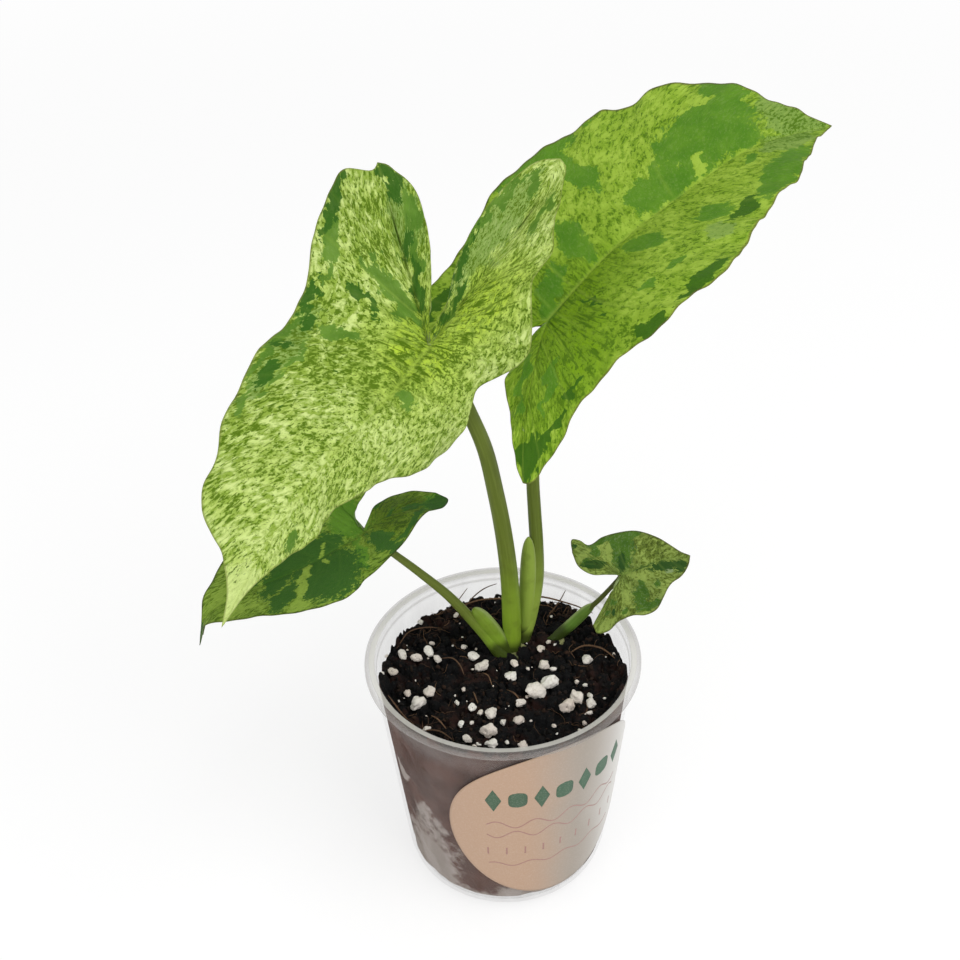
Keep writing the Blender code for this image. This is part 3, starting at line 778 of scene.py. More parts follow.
@dataclass
class Blade:
    """An arrow-shaped blade, drawn flat in two halves and bent into place about its midrib.

    Attributes:
        letter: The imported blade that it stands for.
        midrib: Two places behind the joint, the joint, then on to the tip.
        left_way: Direction of the left half at the joint.
        left, right: The two halves.
        patches: Where its colours lie, as each Patch's own numbers.
        finish: Its colours.
        sweep: How far the bends lean back towards the tip.
        lobe_lines, blade_lines, rows: The mesh's fineness.
        thickness: Of the blade.
        groove: Depth of the midrib's groove on the upper side.
        pleat: How steeply the surface stands up between its side veins.
        wave: Height of the waves at the margin.
        lean: How much the side veins crowd towards the joint before they fan out.
        steady: Odd number of the midrib's samples over which its direction is averaged.
        side_veins: Where the side veins leave the skeleton, numbered as half_grid's lines.
    """

    letter: str
    midrib: list[Point]
    left_way: Point
    left: Half
    right: Half
    patches: dict[Tone, list[tuple[float, ...]]]
    finish: LeafFinish
    sweep: float = 0.0
    lobe_lines: int = 46
    blade_lines: int = 120
    rows: int = 52
    thickness: float = 0.38
    groove: float = 0.5
    pleat: float = 0.12
    wave: float = 0.55
    lean: float = 1.8
    steady: int = 1
    side_veins: tuple[float, ...] = (0.35, 0.6, 0.82, 1.0, 1.2, 1.42, 1.65, 1.88,
                                     2.07, 2.2, 2.33, 2.46, 2.59, 2.72, 2.84)

    def __post_init__(self) -> None:
        """Sample the midrib: length from the joint, places, and forward, left and up directions."""
        knots = travelled(self.midrib)
        self.line = smooth_curve(self.midrib, MIDRIB_SAMPLES)
        lengths = travelled(self.line)
        self.along = lengths - np.interp(knots[2], np.linspace(0, knots[-1], MIDRIB_SAMPLES), lengths)
        ends = ((self.steady // 2, self.steady // 2), (0, 0))
        headings = np.pad(np.gradient(self.line, self.along, axis=0), ends, "edge")
        weights = np.hanning(self.steady + 2)[1:-1]
        self.forward = unit(np.stack([np.convolve(column, weights, "valid") for column in headings.T], -1))
        left = unit(np.asarray(self.left_way, float))
        self.side = unit(left - (self.forward @ left)[:, None] * self.forward)
        up = np.cross(self.forward, self.side)
        self.up = -up if up[:, 2].mean() < 0 else up

    def read(self, table: Array, along: Array) -> Array:
        """Read one of the midrib's tables of directions or places at lengths along it."""
        return np.stack([np.interp(along, self.along, table[:, axis]) for axis in range(3)], -1)

    def bend(self, flat: Array, lift: Array | float = 0.0) -> Array:
        """Carry flat (along, across) places onto the bent blade.

        Each cross line leaves the midrib at its fold angle and turns by its curl as it goes out,
        so it is an arc in the plane of the left and up directions. Lift is measured square to it.

        Args:
            flat: Places on the flat blade.
            lift: Height above the blade's upper surface at each place.

        Returns:
            The places in millimetres.
        """
        s, t = flat[..., 0], flat[..., 1]
        distance = np.abs(t)
        leaning = s + self.sweep * distance
        fold = np.zeros_like(s)
        curl = np.zeros_like(s)
        for on_side, rows in ((t >= 0, self.left.bends), (t < 0, self.right.bends)):
            table = np.asarray(rows, float)
            fold = np.where(on_side, through(leaning, table[:, 0], table[:, 1]), fold)
            curl = np.where(on_side, through(leaning, table[:, 0], table[:, 2]), curl)
        fold = np.radians(fold)
        curl = np.radians(curl) / 10
        curl = np.where(np.abs(curl) < 1e-5, 1e-5, curl)
        slope = fold + curl * distance
        outward = (np.sin(slope) - np.sin(fold)) / curl
        raised = (np.cos(fold) - np.cos(slope)) / curl
        past = s - np.clip(s, self.along[0], self.along[-1])
        left, up = self.read(self.side, s), self.read(self.up, s)
        place = self.read(self.line, s) + past[..., None] * self.read(self.forward, s)
        place = place + (np.sign(t) * outward)[..., None] * left + raised[..., None] * up
        lean = slope * (1 - np.exp(-distance / 1.5))
        normal = np.cos(lean)[..., None] * up - (np.sign(t) * np.sin(lean))[..., None] * left
        return place + np.asarray(lift, float)[..., None] * normal

    def half_grid(self, half: Half) -> tuple[Array, Array, Array, Array]:
        """Lay out one half of the flat blade.

        Cross lines run from a skeleton to the edge as the side veins do, bowed back a little.
        The skeleton goes out along the lobe's main vein (0 to 1), back (1 to 2), and along the
        midrib to the tip (2 to 3).

        Args:
            half: The half to lay out.

        Returns:
            The places, each line's number from 0 to 3, each row's share of the way out, and the
            length of each line.
        """
        inner = smooth_curve(half.inner, self.lobe_lines + 1)
        corners = np.asarray([half.inner[-1], *half.outer], float)
        knots = travelled(corners)
        turn = knots[half.shoulder]
        shoulder = through(np.linspace(0, turn, self.lobe_lines + 1)[1:], knots, corners)
        margin = through(np.linspace(turn, knots[-1], self.blade_lines + 1)[1:], knots, corners)
        edge = np.concatenate([inner, shoulder, margin])
        out = half.main_vein(np.linspace(0, 1, self.lobe_lines + 1) ** 1.5)
        share = np.linspace(0, 1, self.blade_lines + 1)[1:]
        tip = np.stack([corners[-1, 0] * share**self.lean, np.zeros(self.blade_lines)], -1)
        skeleton = np.concatenate([out, out[-2::-1], tip])
        number = np.concatenate([np.linspace(0, 2, 2 * self.lobe_lines + 1), 2 + share])
        row = np.linspace(0, 1, self.rows) ** 1.25
        flat = skeleton[:, None] * (1 - row[None, :, None]) + edge[:, None] * row[None, :, None]
        length = np.linalg.norm(edge - skeleton, axis=1)
        bow = 0.10 * length * ease(number, 2.0, 2.2)
        flat[..., 0] -= bow[:, None] * 4 * row * (1 - row)
        return flat, number, row, length

    def relief(self, flat: Array, number: Array, row: Array, length: Array) -> tuple[Array, Array]:
        """Work out the fine height of one half and where its veins show.

        The height is a groove along each main vein, a pleat from each side vein to the next
        (steepest near the joint), waves at the margin, and low ripples.

        Args:
            flat, number, row, length: What half_grid returned.

        Returns:
            The height at each place, and how much a vein shows there, from 0 to 1.
        """
        reach = row[None, :] * length[:, None]
        spacing = np.linalg.norm(np.gradient(flat, number, axis=0), axis=-1)
        veins = np.asarray((0.0, *self.side_veins, 3.0))
        near = np.abs(number[:, None] - veins).min(1)[:, None] * spacing
        after = np.clip(np.searchsorted(veins, number, side="right"), 1, len(veins) - 1)
        width = (veins[after] - veins[after - 1])[:, None]
        share = (number - veins[after - 1])[:, None] / width
        outward = ease(row / 0.07)[None, :]
        weaker = 1 - 0.72 * ease(np.minimum(number, 2 - number), 0, 0.35)
        fade = np.where(number < 2, weaker, 0.25 + 0.75 * (3 - number))
        scale = min(1.0, self.left.outer[-1][0] / 60)
        main = np.exp(-(reach / (1.5 * scale)) ** 2)
        height = -self.groove * fade[:, None] * main
        away = np.hypot(flat[..., 0], flat[..., 1])
        steep = self.pleat * (0.4 + 0.6 * np.exp(-(away / (20 * scale)) ** 2))
        arch = 1 - np.abs(2 * np.clip(share, 0, 1) - 1) ** 1.6
        steep = steep * (1 - 0.85 * ease(number, 2.35, 2.75))[:, None]
        height += steep * np.minimum(width * spacing, 6.5 * scale) * arch * outward * (1 - row**2) ** 2
        edge = travelled(flat[:, -1])
        end = ease(length, 1, 9)
        height += (self.wave * end * np.sin(2 * np.pi * edge / 14.5))[:, None] * row**3
        height += 0.3 * self.wave * end[:, None] * row**4 * np.sin(2 * np.pi * edge / 5.3 + 1)[:, None]
        ripple = np.sin(flat[..., 0] / 2.9 + 0.5) * np.cos(flat[..., 1] / 2.3)
        height += 0.10 * ripple * outward * (1 - row**4) * end[:, None]
        finer = 0.55 * np.exp(-(near / 0.22) ** 2) * outward * (1 - 0.6 * row)
        return height, np.maximum(fade[:, None] * np.exp(-(reach / 0.5) ** 2), finer)

    def tones(self, flat: Array) -> dict[str, Array]:
        """Work out how strongly each tone shows.

        The places stray a little at random, so that no oval keeps its outline, and pale patches
        cut the green ones.

        Args:
            flat: Places on the flat blade.

        Returns:
            The strength at each place, by the tone's name.
        """
        rng = np.random.default_rng(ord(self.letter))
        size = self.left.outer[-1][0] / 12
        stray = [size / 8 * lumps(flat, rng, 24, size) + size / 18 * lumps(flat, rng, 24, size / 3)
                 for _ in range(2)]
        strayed = flat + np.stack(stray, -1)
        found = {tone.value: np.zeros(flat.shape[:-1]) for tone in Tone}
        for tone, rows in self.patches.items():
            found[tone.value] = np.max([Patch(*row).strength(strayed) for row in rows], axis=0)
        clear = 1 - ease(found[Tone.PALE.value], 0.3, 0.7)
        for tone in (Tone.SOLID, Tone.DARK, Tone.SILVER):
            found[tone.value] *= clear
        return found

    def build(self) -> Piece:
        """Make the blade as one welded sheet with its thickness below it.

        Returns:
            The blade's object.
        """
        shape = Shape()
        lines = 2 * self.lobe_lines + self.blade_lines + 1
        mirrored = np.cross(self.forward[0], self.side[0]) @ self.up[0] < 0
        for half, flip, shift in ((self.left, not mirrored, 0.0), (self.right, mirrored, 13.7)):
            flat, number, row, length = self.half_grid(half)
            height, vein = self.relief(flat, number, row, length)
            middle = travelled(flat[:, self.rows // 2]) / 10 + shift
            reach = row[None, :] * length[:, None] / 10 * half.fine
            flow = np.stack([np.broadcast_to(middle[:, None], reach.shape), reach], -1)
            inset = (1 - row)[None, :] * length[:, None]
            shape.add(self.bend(flat, height), grid_faces(lines, self.rows, flip=flip), flow=flow,
                      vein=vein, edge=np.exp(-(inset / 0.32) ** 2), body=ease(inset, -0.1, 1.2),
                      **self.tones(flat))
        above = self.finish.material(f"blade_{self.letter}_upper")
        below = replace(self.finish, under=0.5).material(f"blade_{self.letter}_under")
        piece = shape.build(f"leaf_{self.letter}", above, below, merge=0.002)
        group = piece.vertex_groups.new(name="body")
        body = np.zeros(len(piece.data.vertices), np.float32)
        piece.data.attributes["body"].data.foreach_get("value", body)
        for index, share in enumerate(body.tolist()):
            group.add([index], share, "REPLACE")
        solid = piece.modifiers.new("Thickness", "SOLIDIFY")
        solid.thickness = self.thickness * MM
        solid.offset = -1
        solid.vertex_group = "body"
        solid.thickness_vertex_group = 0.35
        solid.material_offset = 1
        solid.material_offset_rim = 0
        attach(piece, BODY)
        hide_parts("blade_" + self.letter)
        return piece

    def ribs(self) -> list[tuple[Array, Array]]:
        """Lay a tapering rib under each main vein.

        Returns:
            Each rib's route and radii.
        """
        reach = self.left.outer[-1][0]
        thick = 0.6 + 0.007 * reach
        found = []
        share = np.linspace(0, 1, RIB_SAMPLES)
        lines = [(np.stack([-0.5 + (0.5 + 0.94 * reach) * share, 0 * share], -1), thick)]
        lines += [(half.main_vein(share), 0.7 * thick) for half in (self.left, self.right)]
        for flat, radius in lines:
            radii = radius * (1 - share) ** 0.8 + 0.10
            depth = self.thickness + self.groove * (1 - 0.7 * share) + 0.62 * radii
            found.append((self.bend(flat, -depth), radii))
        return found


# ---- petioles


@dataclass(frozen=True)
class Sheath:
    """The wing along a petiole's foot that held the next leaf: a spindle with raised lips."""

    route: list[Point]
    width: float
    thickness: float


@dataclass
class Stalk:
    """A petiole from the crown to its blade, with its sheath and the ribs under the blade.

    Attributes:
        blade: The blade that it holds.
        route: Places from the foot up, the last of them short of the blade's joint.
        radii: At the foot and at the blade.
        finish: Its colours.
        sheath: The wing along its foot, or None.
        flare: How much wider it is right at the foot, as a share of the radius.
        ridges: Height of the ridges along its foot, as a share of the radius.
        foot_depth: How far it goes on below the route's first place, into the soil.
        sides, steps: The mesh's fineness.
    """

    blade: Blade
    route: list[Point]
    radii: Place
    finish: StalkFinish
    sheath: Sheath | None = None
    flare: float = 0.16
    ridges: float = 0.025
    foot_depth: float = 4.0
    sides: int = 28
    steps: int = 110

    def stem(self) -> tuple[Array, Array, Array]:
        """Shape the stem.

        The section is a circle with six low ridges that fade upwards and a shallow channel on
        the upper side. The radius narrows upwards and swells again just under the blade.

        Returns:
            Its route, its sections and each place's share of the way up.
        """
        joint = self.blade.bend(np.zeros(2), np.array(-self.blade.thickness - 0.55 * self.radii[1]))
        foot = np.asarray(self.route[0], float)
        below = foot - self.foot_depth * unit(np.asarray(self.route[1], float) - foot)
        places = smooth_curve([below, *self.route, joint], self.steps)
        share = travelled(places) / travelled(places)[-1]
        swell = 1 + 0.22 * np.exp(-((share - 1) / 0.035) ** 2) + self.flare * np.exp(-(share / 0.1) ** 2)
        radii = (self.radii[0] + (self.radii[1] - self.radii[0]) * share**0.8) * swell
        turn = turns(self.sides)
        ridge = self.ridges * np.exp(-share / 0.22)[:, None] * np.cos(6 * turn)
        channel = 0.10 * ease(share, 0.25, 0.6)[:, None] * np.exp(-((turn - np.pi / 2) / 0.45) ** 2)
        outline = 1 + ridge - channel
        return places, radii[:, None, None] * outline[..., None] * circle(self.sides), share

    def wing(self, sheath: Sheath) -> tuple[Array, Array, Array]:
        """Shape the sheath.

        It is a blunt tongue: full at the foot and closing round at the top, an oval in section
        with a slightly raised lip along each side.

        Args:
            sheath: Its route and sizes.

        Returns:
            Its route, its sections and where its pale lips lie.
        """
        steps, sides = 60, 32
        places = smooth_curve(sheath.route, steps)
        share = np.linspace(0, 1, steps)
        blunt = (0.80 + 0.20 * ease(share, 0, 0.3)) * rounded_off(share)
        lips = np.exp(-((np.abs(np.cos(turns(sides))) - 1) / 0.12) ** 2)
        outline = 1 + 0.07 * lips
        section = circle(sides) * (0.5 * sheath.width, 0.5 * sheath.thickness)
        rings = blunt[:, None, None] * outline[:, None] * section
        return places, rings, np.broadcast_to(lips, (steps, sides))

    def build(self) -> Piece:
        """Make the petiole as one piece of closed tubes.

        Returns:
            The petiole's object.
        """
        shape = Shape()
        places, rings, share = self.stem()
        self.tube(shape, places, rings, (1, 0.2, 0), share, 0.0)
        if self.sheath:
            places, rings, lips = self.wing(self.sheath)
            share = np.linspace(0.06, 0.2, len(places))
            self.tube(shape, places, rings, (1, 0, -0.4), share, lips)
        for route, radii in self.blade.ribs():
            rings = round_rings(radii, 12, 0.8)
            self.tube(shape, route, rings, self.blade.side[0], np.full(len(route), 0.95), 0.0)
        skin = self.finish.material(f"petiole_{self.blade.letter}_skin")
        piece = shape.build(f"stalk_{self.blade.letter}", skin)
        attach(piece, BODY)
        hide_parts("petiole_" + self.blade.letter)
        return piece

    @staticmethod
    def tube(shape: Shape, places: Array, rings: Array, across: Array, rise: Array,
             lip: Array | float) -> None:
        """Gather a tube whose points carry how far up they are, their lip and a flow map.

        Args:
            shape: The piece that it joins.
            places, rings: Its route and sections.
            across: Direction that the sections are measured towards.
            rise: How far up each place is, from 0 to 1.
            lip: How pale the sheath's lip is, at each point or all over.
        """
        points, faces = ring_tube(places, rings, across)
        steps, sides = rings.shape[:2]
        rise = np.repeat(rise, sides)
        lip = np.broadcast_to(np.asarray(lip, float), (steps, sides)).ravel()
        turn = np.tile(np.abs(np.linspace(-1, 1, sides, endpoint=False)), steps)
        length = np.repeat(travelled(places) / 10, sides)
        flow = np.stack([turn, length], -1)
        shape.add(points, faces, rise=np.concatenate([rise[:1], rise, rise[-1:]]),
                  lip=np.concatenate([[0], lip, [0]]), flow=np.concatenate([flow[:1], flow, flow[-1:]]))


# ---- cup, soil and what lies on it


@dataclass
class Cup:
    """The thin nursery cup: tapered wall, rolled lip, rounded foot, holes in the base.

    Attributes:
        rim_radius: Outside radius of the lip.
        height: From the base to the top of the lip.
        rim_height: Depth of the lip.
        wall: Thickness.
        top_radius: Outside of the wall just under the lip.
        base_radius: Outside of the wall carried down to the base.
        corner: Radius of the foot's corner.
        soil_top: Level above which no damp soil wets the wall.
        holes: Number of drain holes, of hole_radius, on a circle of hole_circle.
        sides: The mesh's fineness.
        finish: Its plastic.
    """

    rim_radius: float = 33.0
    height: float = 63.0
    rim_height: float = 1.8
    wall: float = 0.8
    top_radius: float = 31.1
    base_radius: float = 24.9
    corner: float = 3.5
    soil_top: float = 56.3
    holes: int = 5
    hole_radius: float = 2.0
    hole_circle: float = 14.0
    sides: int = 160
    finish: PlasticFinish = field(default_factory=PlasticFinish)

    def wall_radius(self, height: Array | float) -> Array | float:
        """Return the outside radius of the wall at a height."""
        share = height / (self.height - self.rim_height)
        return self.base_radius + (self.top_radius - self.base_radius) * share

    @staticmethod
    def arc(centre: Place, radius: float, first: float, last: float, steps: int,
            haze: float = 0.0) -> list[Point]:
        """Return places and haze on an arc between two turns in degrees from straight out."""
        return [(centre[0] + radius * math.cos(turn), centre[1] + radius * math.sin(turn), haze)
                for turn in np.radians(np.linspace(first, last, steps))]

    def profile(self) -> Array:
        """Draw the closed profile.

        It starts in the middle of the base's outside. The outside goes up the rounded foot and the
        tapered wall to the lip, whose edges are rounded, and the inside comes down past two shallow
        ledges to the base's upper side.

        Returns:
            Rows of radius, height and haze.
        """
        corner = (self.base_radius - self.corner, self.corner)
        foot = self.arc(corner, self.corner, -90, -6, 9)
        heights = np.linspace(self.corner + 1.5, self.height - self.rim_height - 0.5, 14)
        clear = self.soil_top - 1
        outside = [(self.wall_radius(height), height, 0.07 * (height > clear)) for height in heights]
        under = self.height - self.rim_height
        rim, top = self.rim_radius, self.height
        inner = self.wall_radius(top) - self.wall
        bead = (inner + 0.5, top - 0.5)
        # At 0.56 the lip's top and the bead's upper arc are paler: partly frosted plastic, partly painted
        # highlight.
        lip = [(self.top_radius, under, 0.0), (self.top_radius + 0.5, under, 0.05),
               *self.arc((rim - 0.45, under + 0.45), 0.45, -80, 0, 5, 0.26),
               *self.arc((rim - 0.6, top - 0.6), 0.6, 0, 90, 5, 0.17),
               (rim - 0.95, top, 0.2), (rim - 1.15, top, 0.56),
               *self.arc(bead, 0.5, 90, 130, 3, 0.56), *self.arc(bead, 0.5, 145, 180, 3, 0.15)]
        ledges = [(inner - 0.02, top - 1.5, 0.06), (inner - 0.3, top - 1.9, 0.34),
                  (inner - 0.36, top - 2.4, 0.04), (inner - 0.4, top - 3.0, 0.0)]
        inside = [(self.wall_radius(height) - self.wall, height, 0.07 if height > clear else -0.05)
                  for height in heights[-2::-1]]
        back = self.arc(corner, self.corner - self.wall, -6, -90, 7)
        bottom = [(self.hole_circle + 5, self.wall, 0.0), (self.hole_circle - 5, self.wall, 0.0)]
        start = [(self.hole_circle - 5, 0.0, 0.0), (self.hole_circle + 5, 0.0, 0.0)]
        return np.array([*start, *foot, *outside, *lip, *ledges, *inside, *back, *bottom])

    def build(self) -> Piece:
        """Turn the profile about the axis, close it at the axis, and cut the drain holes.

        Returns:
            The cup's object.
        """
        profile = self.profile()
        rings = around(profile[:, :1], turns(self.sides), profile[:, 1:2]).reshape(-1, 3)
        points = np.concatenate([[(0, 0, 0)], rings, [(0, 0, self.wall)]])
        haze = self.finish.haze + np.concatenate([[0], np.repeat(profile[:, 2], self.sides), [0]])
        shape = Shape()
        shape.add(points, closed_faces(len(profile), self.sides), haze=haze)
        piece = shape.build("clear_cup", self.finish.material("clear_cup_plastic"))
        for hole in range(self.holes):
            turn = 2 * math.pi * hole / self.holes + math.pi / 2
            self.cut(piece, (self.hole_circle * math.cos(turn), self.hole_circle * math.sin(turn)))
        piece.data.set_sharp_from_angle(angle=math.radians(40))
        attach(piece, BODY)
        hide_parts("cup")
        return piece

    def cut(self, piece: Piece, place: Place) -> None:
        """Cut one round drain hole through the base.

        Args:
            piece: The cup.
            place: The hole's x and y.
        """
        route = [(*place, -1), (*place, self.wall + 1)]
        points, faces = ring_tube(route, round_rings([self.hole_radius] * 2, 24), (1, 0, 0))
        shape = Shape()
        shape.add(points, faces, haze=self.finish.haze)
        cutter = shape.build("drain_cutter")
        boolean = piece.modifiers.new("Drain", "BOOLEAN")
        boolean.object = cutter
        graph = bpy.context.evaluated_depsgraph_get()
        mesh = bpy.data.meshes.new_from_object(piece.evaluated_get(graph))
        piece.modifiers.clear()
        piece.data = mesh
        bpy.data.objects.remove(cutter)


@dataclass
class Soil:
    """The soil: crumbs on top, and the pressed side that shows through the cup.

    Attributes:
        cup: The cup that it fills.
        top, floor: Its level heights.
        mound, bank: Rise round the crown, whose place is crown, and up the cup's front wall.
        crumbs: Number of rounded crumbs in the surface.
        loose: Number of separate bits lying on it.
        rings, spokes, side_rows: The mesh's fineness on top and down the side.
        painted_light_gaps: Ovals where it has come away from the plastic and painted light shows, as
            (degrees round from the front, height, half width in degrees, half height).
        window: One more oval, where only painted light shows behind the plastic.
    """

    cup: Cup
    top: float = 56.3
    floor: float = 1.3
    mound: float = 1.2
    bank: float = 4.5
    crown: Place = (2.3, 8.6)
    crumbs: int = 1100
    loose: int = 2300
    rings: int = 105
    spokes: int = 330
    side_rows: int = 69
    painted_light_gaps: tuple[Oval, ...] = (
        (-48, 6, 19, 21), (-68, 2, 20, 13), (20, 4, 30, 5), (78, 6, 20, 9),
        (112, 22, 5, 8), (160, 4, 26, 8), (-152, 8, 20, 9), (-118, 20, 5, 8))
    window: Oval = (-64, 37, 7.5, 3.2)

    def level(self, x: Array, y: Array) -> Array:
        """Work out the smooth height: a mound at the crown, a bank at the front wall, low waves.

        Args:
            x, y: Places measured from the cup's axis.

        Returns:
            The height at each place.
        """
        away = np.hypot(x - self.crown[0], y - self.crown[1])
        waves = 0.25 * np.sin(0.42 * x + 0.6) * np.cos(0.37 * y - 0.4)
        bank = self.bank * ease(np.hypot(x, y), 27.6, 29.4) * ease(-y, -4, 9)
        return self.top + self.mound * np.exp(-(away / 11) ** 2) + bank + waves

    def crumbled(self, x: Array, y: Array) -> Array:
        """Work out the height of the crumbs: at each place the highest of many round tops.

        A crumb is a flattened ball of its own size, turned and stretched at random, sunk into the
        level soil by its own share.

        Args:
            x, y: Places measured from the cup's axis.

        Returns:
            The height at each place.
        """
        rng = np.random.default_rng(11)
        middle = strewn(rng, self.crumbs, self.cup.wall_radius(self.top) - self.cup.wall)
        radius = 0.55 + 1.5 * rng.uniform(0, 1, self.crumbs) ** 2.2
        sunk = radius * rng.uniform(0.25, 0.95, self.crumbs)
        stretch = rng.uniform(0.65, 1.0, self.crumbs)
        facing = rng.uniform(0, np.pi, self.crumbs)
        between, batch = -1.4, 60
        height = np.full(x.shape, between)
        for first in range(0, self.crumbs, batch):
            pick = slice(first, first + batch)
            dx = x[..., None] - middle[0, pick]
            dy = y[..., None] - middle[1, pick]
            u = dx * np.cos(facing[pick]) + dy * np.sin(facing[pick])
            v = (dy * np.cos(facing[pick]) - dx * np.sin(facing[pick])) / stretch[pick]
            dome = np.sqrt(np.clip(radius[pick] ** 2 - u * u - v * v, 0, None))
            top = np.where(dome > 0, 0.9 * dome - sunk[pick], between)
            height = np.maximum(height, top.max(-1))
        rough = lumps(np.stack([x, y], -1), rng, 24, 1.1)
        return self.level(x, y) + height + 0.16 * rough

    def build(self) -> Piece:
        """Make the soil as one closed piece: crumbled top, pressed side and flat foot.

        Returns:
            The soil's object.
        """
        side_gap = self.cup.wall + 0.06
        turn = turns(self.spokes)
        edge = self.cup.wall_radius(self.top) - side_gap
        radius = edge * np.linspace(0, 1, self.rings + 1)[1:, None] ** 0.8
        top = around(radius, turn, 0.0)
        top[..., 2] = self.crumbled(top[..., 0], top[..., 1])
        rim = top[-1, :, 2]
        share = np.linspace(0, 1, self.side_rows + 1)[1:, None]
        foot = self.cup.corner + 0.6
        z = rim * (1 - share) + foot * share
        rng = np.random.default_rng(5)
        dents = 0.25 * np.clip(lumps(around(30, turn, z), rng, 30, 6.0), 0, 2) * ease(share, 0, 0.05)
        side = around(self.cup.wall_radius(z) - side_gap - dents, turn, z)
        base = around(self.cup.base_radius - self.cup.corner, turn, self.floor)
        peak = (0, 0, self.crumbled(np.zeros(1), np.zeros(1))[0])
        points = np.concatenate([[peak], top.reshape(-1, 3), side.reshape(-1, 3), base,
                                 [(0, 0, self.floor)]])
        faces = closed_faces(self.rings + self.side_rows + 1, self.spokes, flip=True)
        shape = Shape()
        pressed = np.zeros(len(points))
        pressed[1 + self.rings * self.spokes:] = 1
        shape.add(points, faces, side=pressed, gap=self.gap(points))
        piece = shape.build("crumbled_soil", SoilFinish().material("damp_soil"))
        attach(piece, BODY)
        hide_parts("soil")
        return piece

    def gap(self, points: Array) -> Array:
        """Work out where painted light shows, as how far the soil has come away from the plastic.

        Args:
            points: Places on the soil.

        Returns:
            0 to 1 at each of them, and 2 in the window.
        """
        turn = np.degrees(np.arctan2(points[:, 0], -points[:, 1]))
        rng = np.random.default_rng(41)
        start = 1.5 + 0.15 * lumps(points, rng, 30, 9.0) + 0.12 * lumps(points, rng, 30, 3.0)
        # Low down, towards the foot, painted light shows as well.
        found = [ease(9.0 - points[:, 2], 0, 7) * 0.8]
        for middle, height, wide, tall in (*self.painted_light_gaps, self.window):
            away = (turn - middle + 180) % 360 - 180
            reach = start - np.hypot(away / wide, (points[:, 2] - height) / tall)
            found.append(np.clip(reach, 0, 1))
        outer = np.hypot(points[:, 0], points[:, 1]) > 0.9 * self.cup.wall_radius(points[:, 2])
        level = np.max(found[:-1], axis=0) + found[-1]
        return level * outer * ease(self.top - points[:, 2], 1, 4)

    def scatter(self) -> Piece:
        """Make the loose bits: hundreds of small rough lumps and flakes lying on the crumbs.

        Returns:
            The bits' object.
        """
        rng = np.random.default_rng(23)
        ways, faces = ball(1)
        count = self.loose
        x, y = strewn(rng, count, self.cup.wall_radius(self.top) - self.cup.wall - 0.9)
        size = 0.16 + 0.55 * rng.uniform(0, 1, count) ** 3
        axes = size[:, None] * rng.uniform(0.45, 1.3, (count, 3))
        spin = np.linalg.qr(rng.normal(size=(count, 3, 3)))[0]
        rough = rng.uniform(0.72, 1.2, (count, len(ways), 1))
        lumpy = np.einsum("nij,nkj->nki", spin, ways[None] * rough * axes[:, None])
        middle = np.stack([x, y, self.crumbled(x, y) + 0.45 * size], -1)
        points = middle[:, None] + lumpy
        numbered = faces[None] + np.arange(count)[:, None, None] * len(ways)
        shade = np.repeat(rng.uniform(0, 1, count) ** 2, len(ways))
        shape = Shape()
        shape.add(points, numbered.reshape(-1, 3), shade=shade)
        finish = GrainFinish("0e0c0b", "3a281d", "1d1a18", 1500.0)
        piece = shape.build("soil_bits", finish.material("soil_bits_dark"))
        piece.data.set_sharp_from_angle(angle=math.radians(25))
        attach(piece, BODY)
        return piece


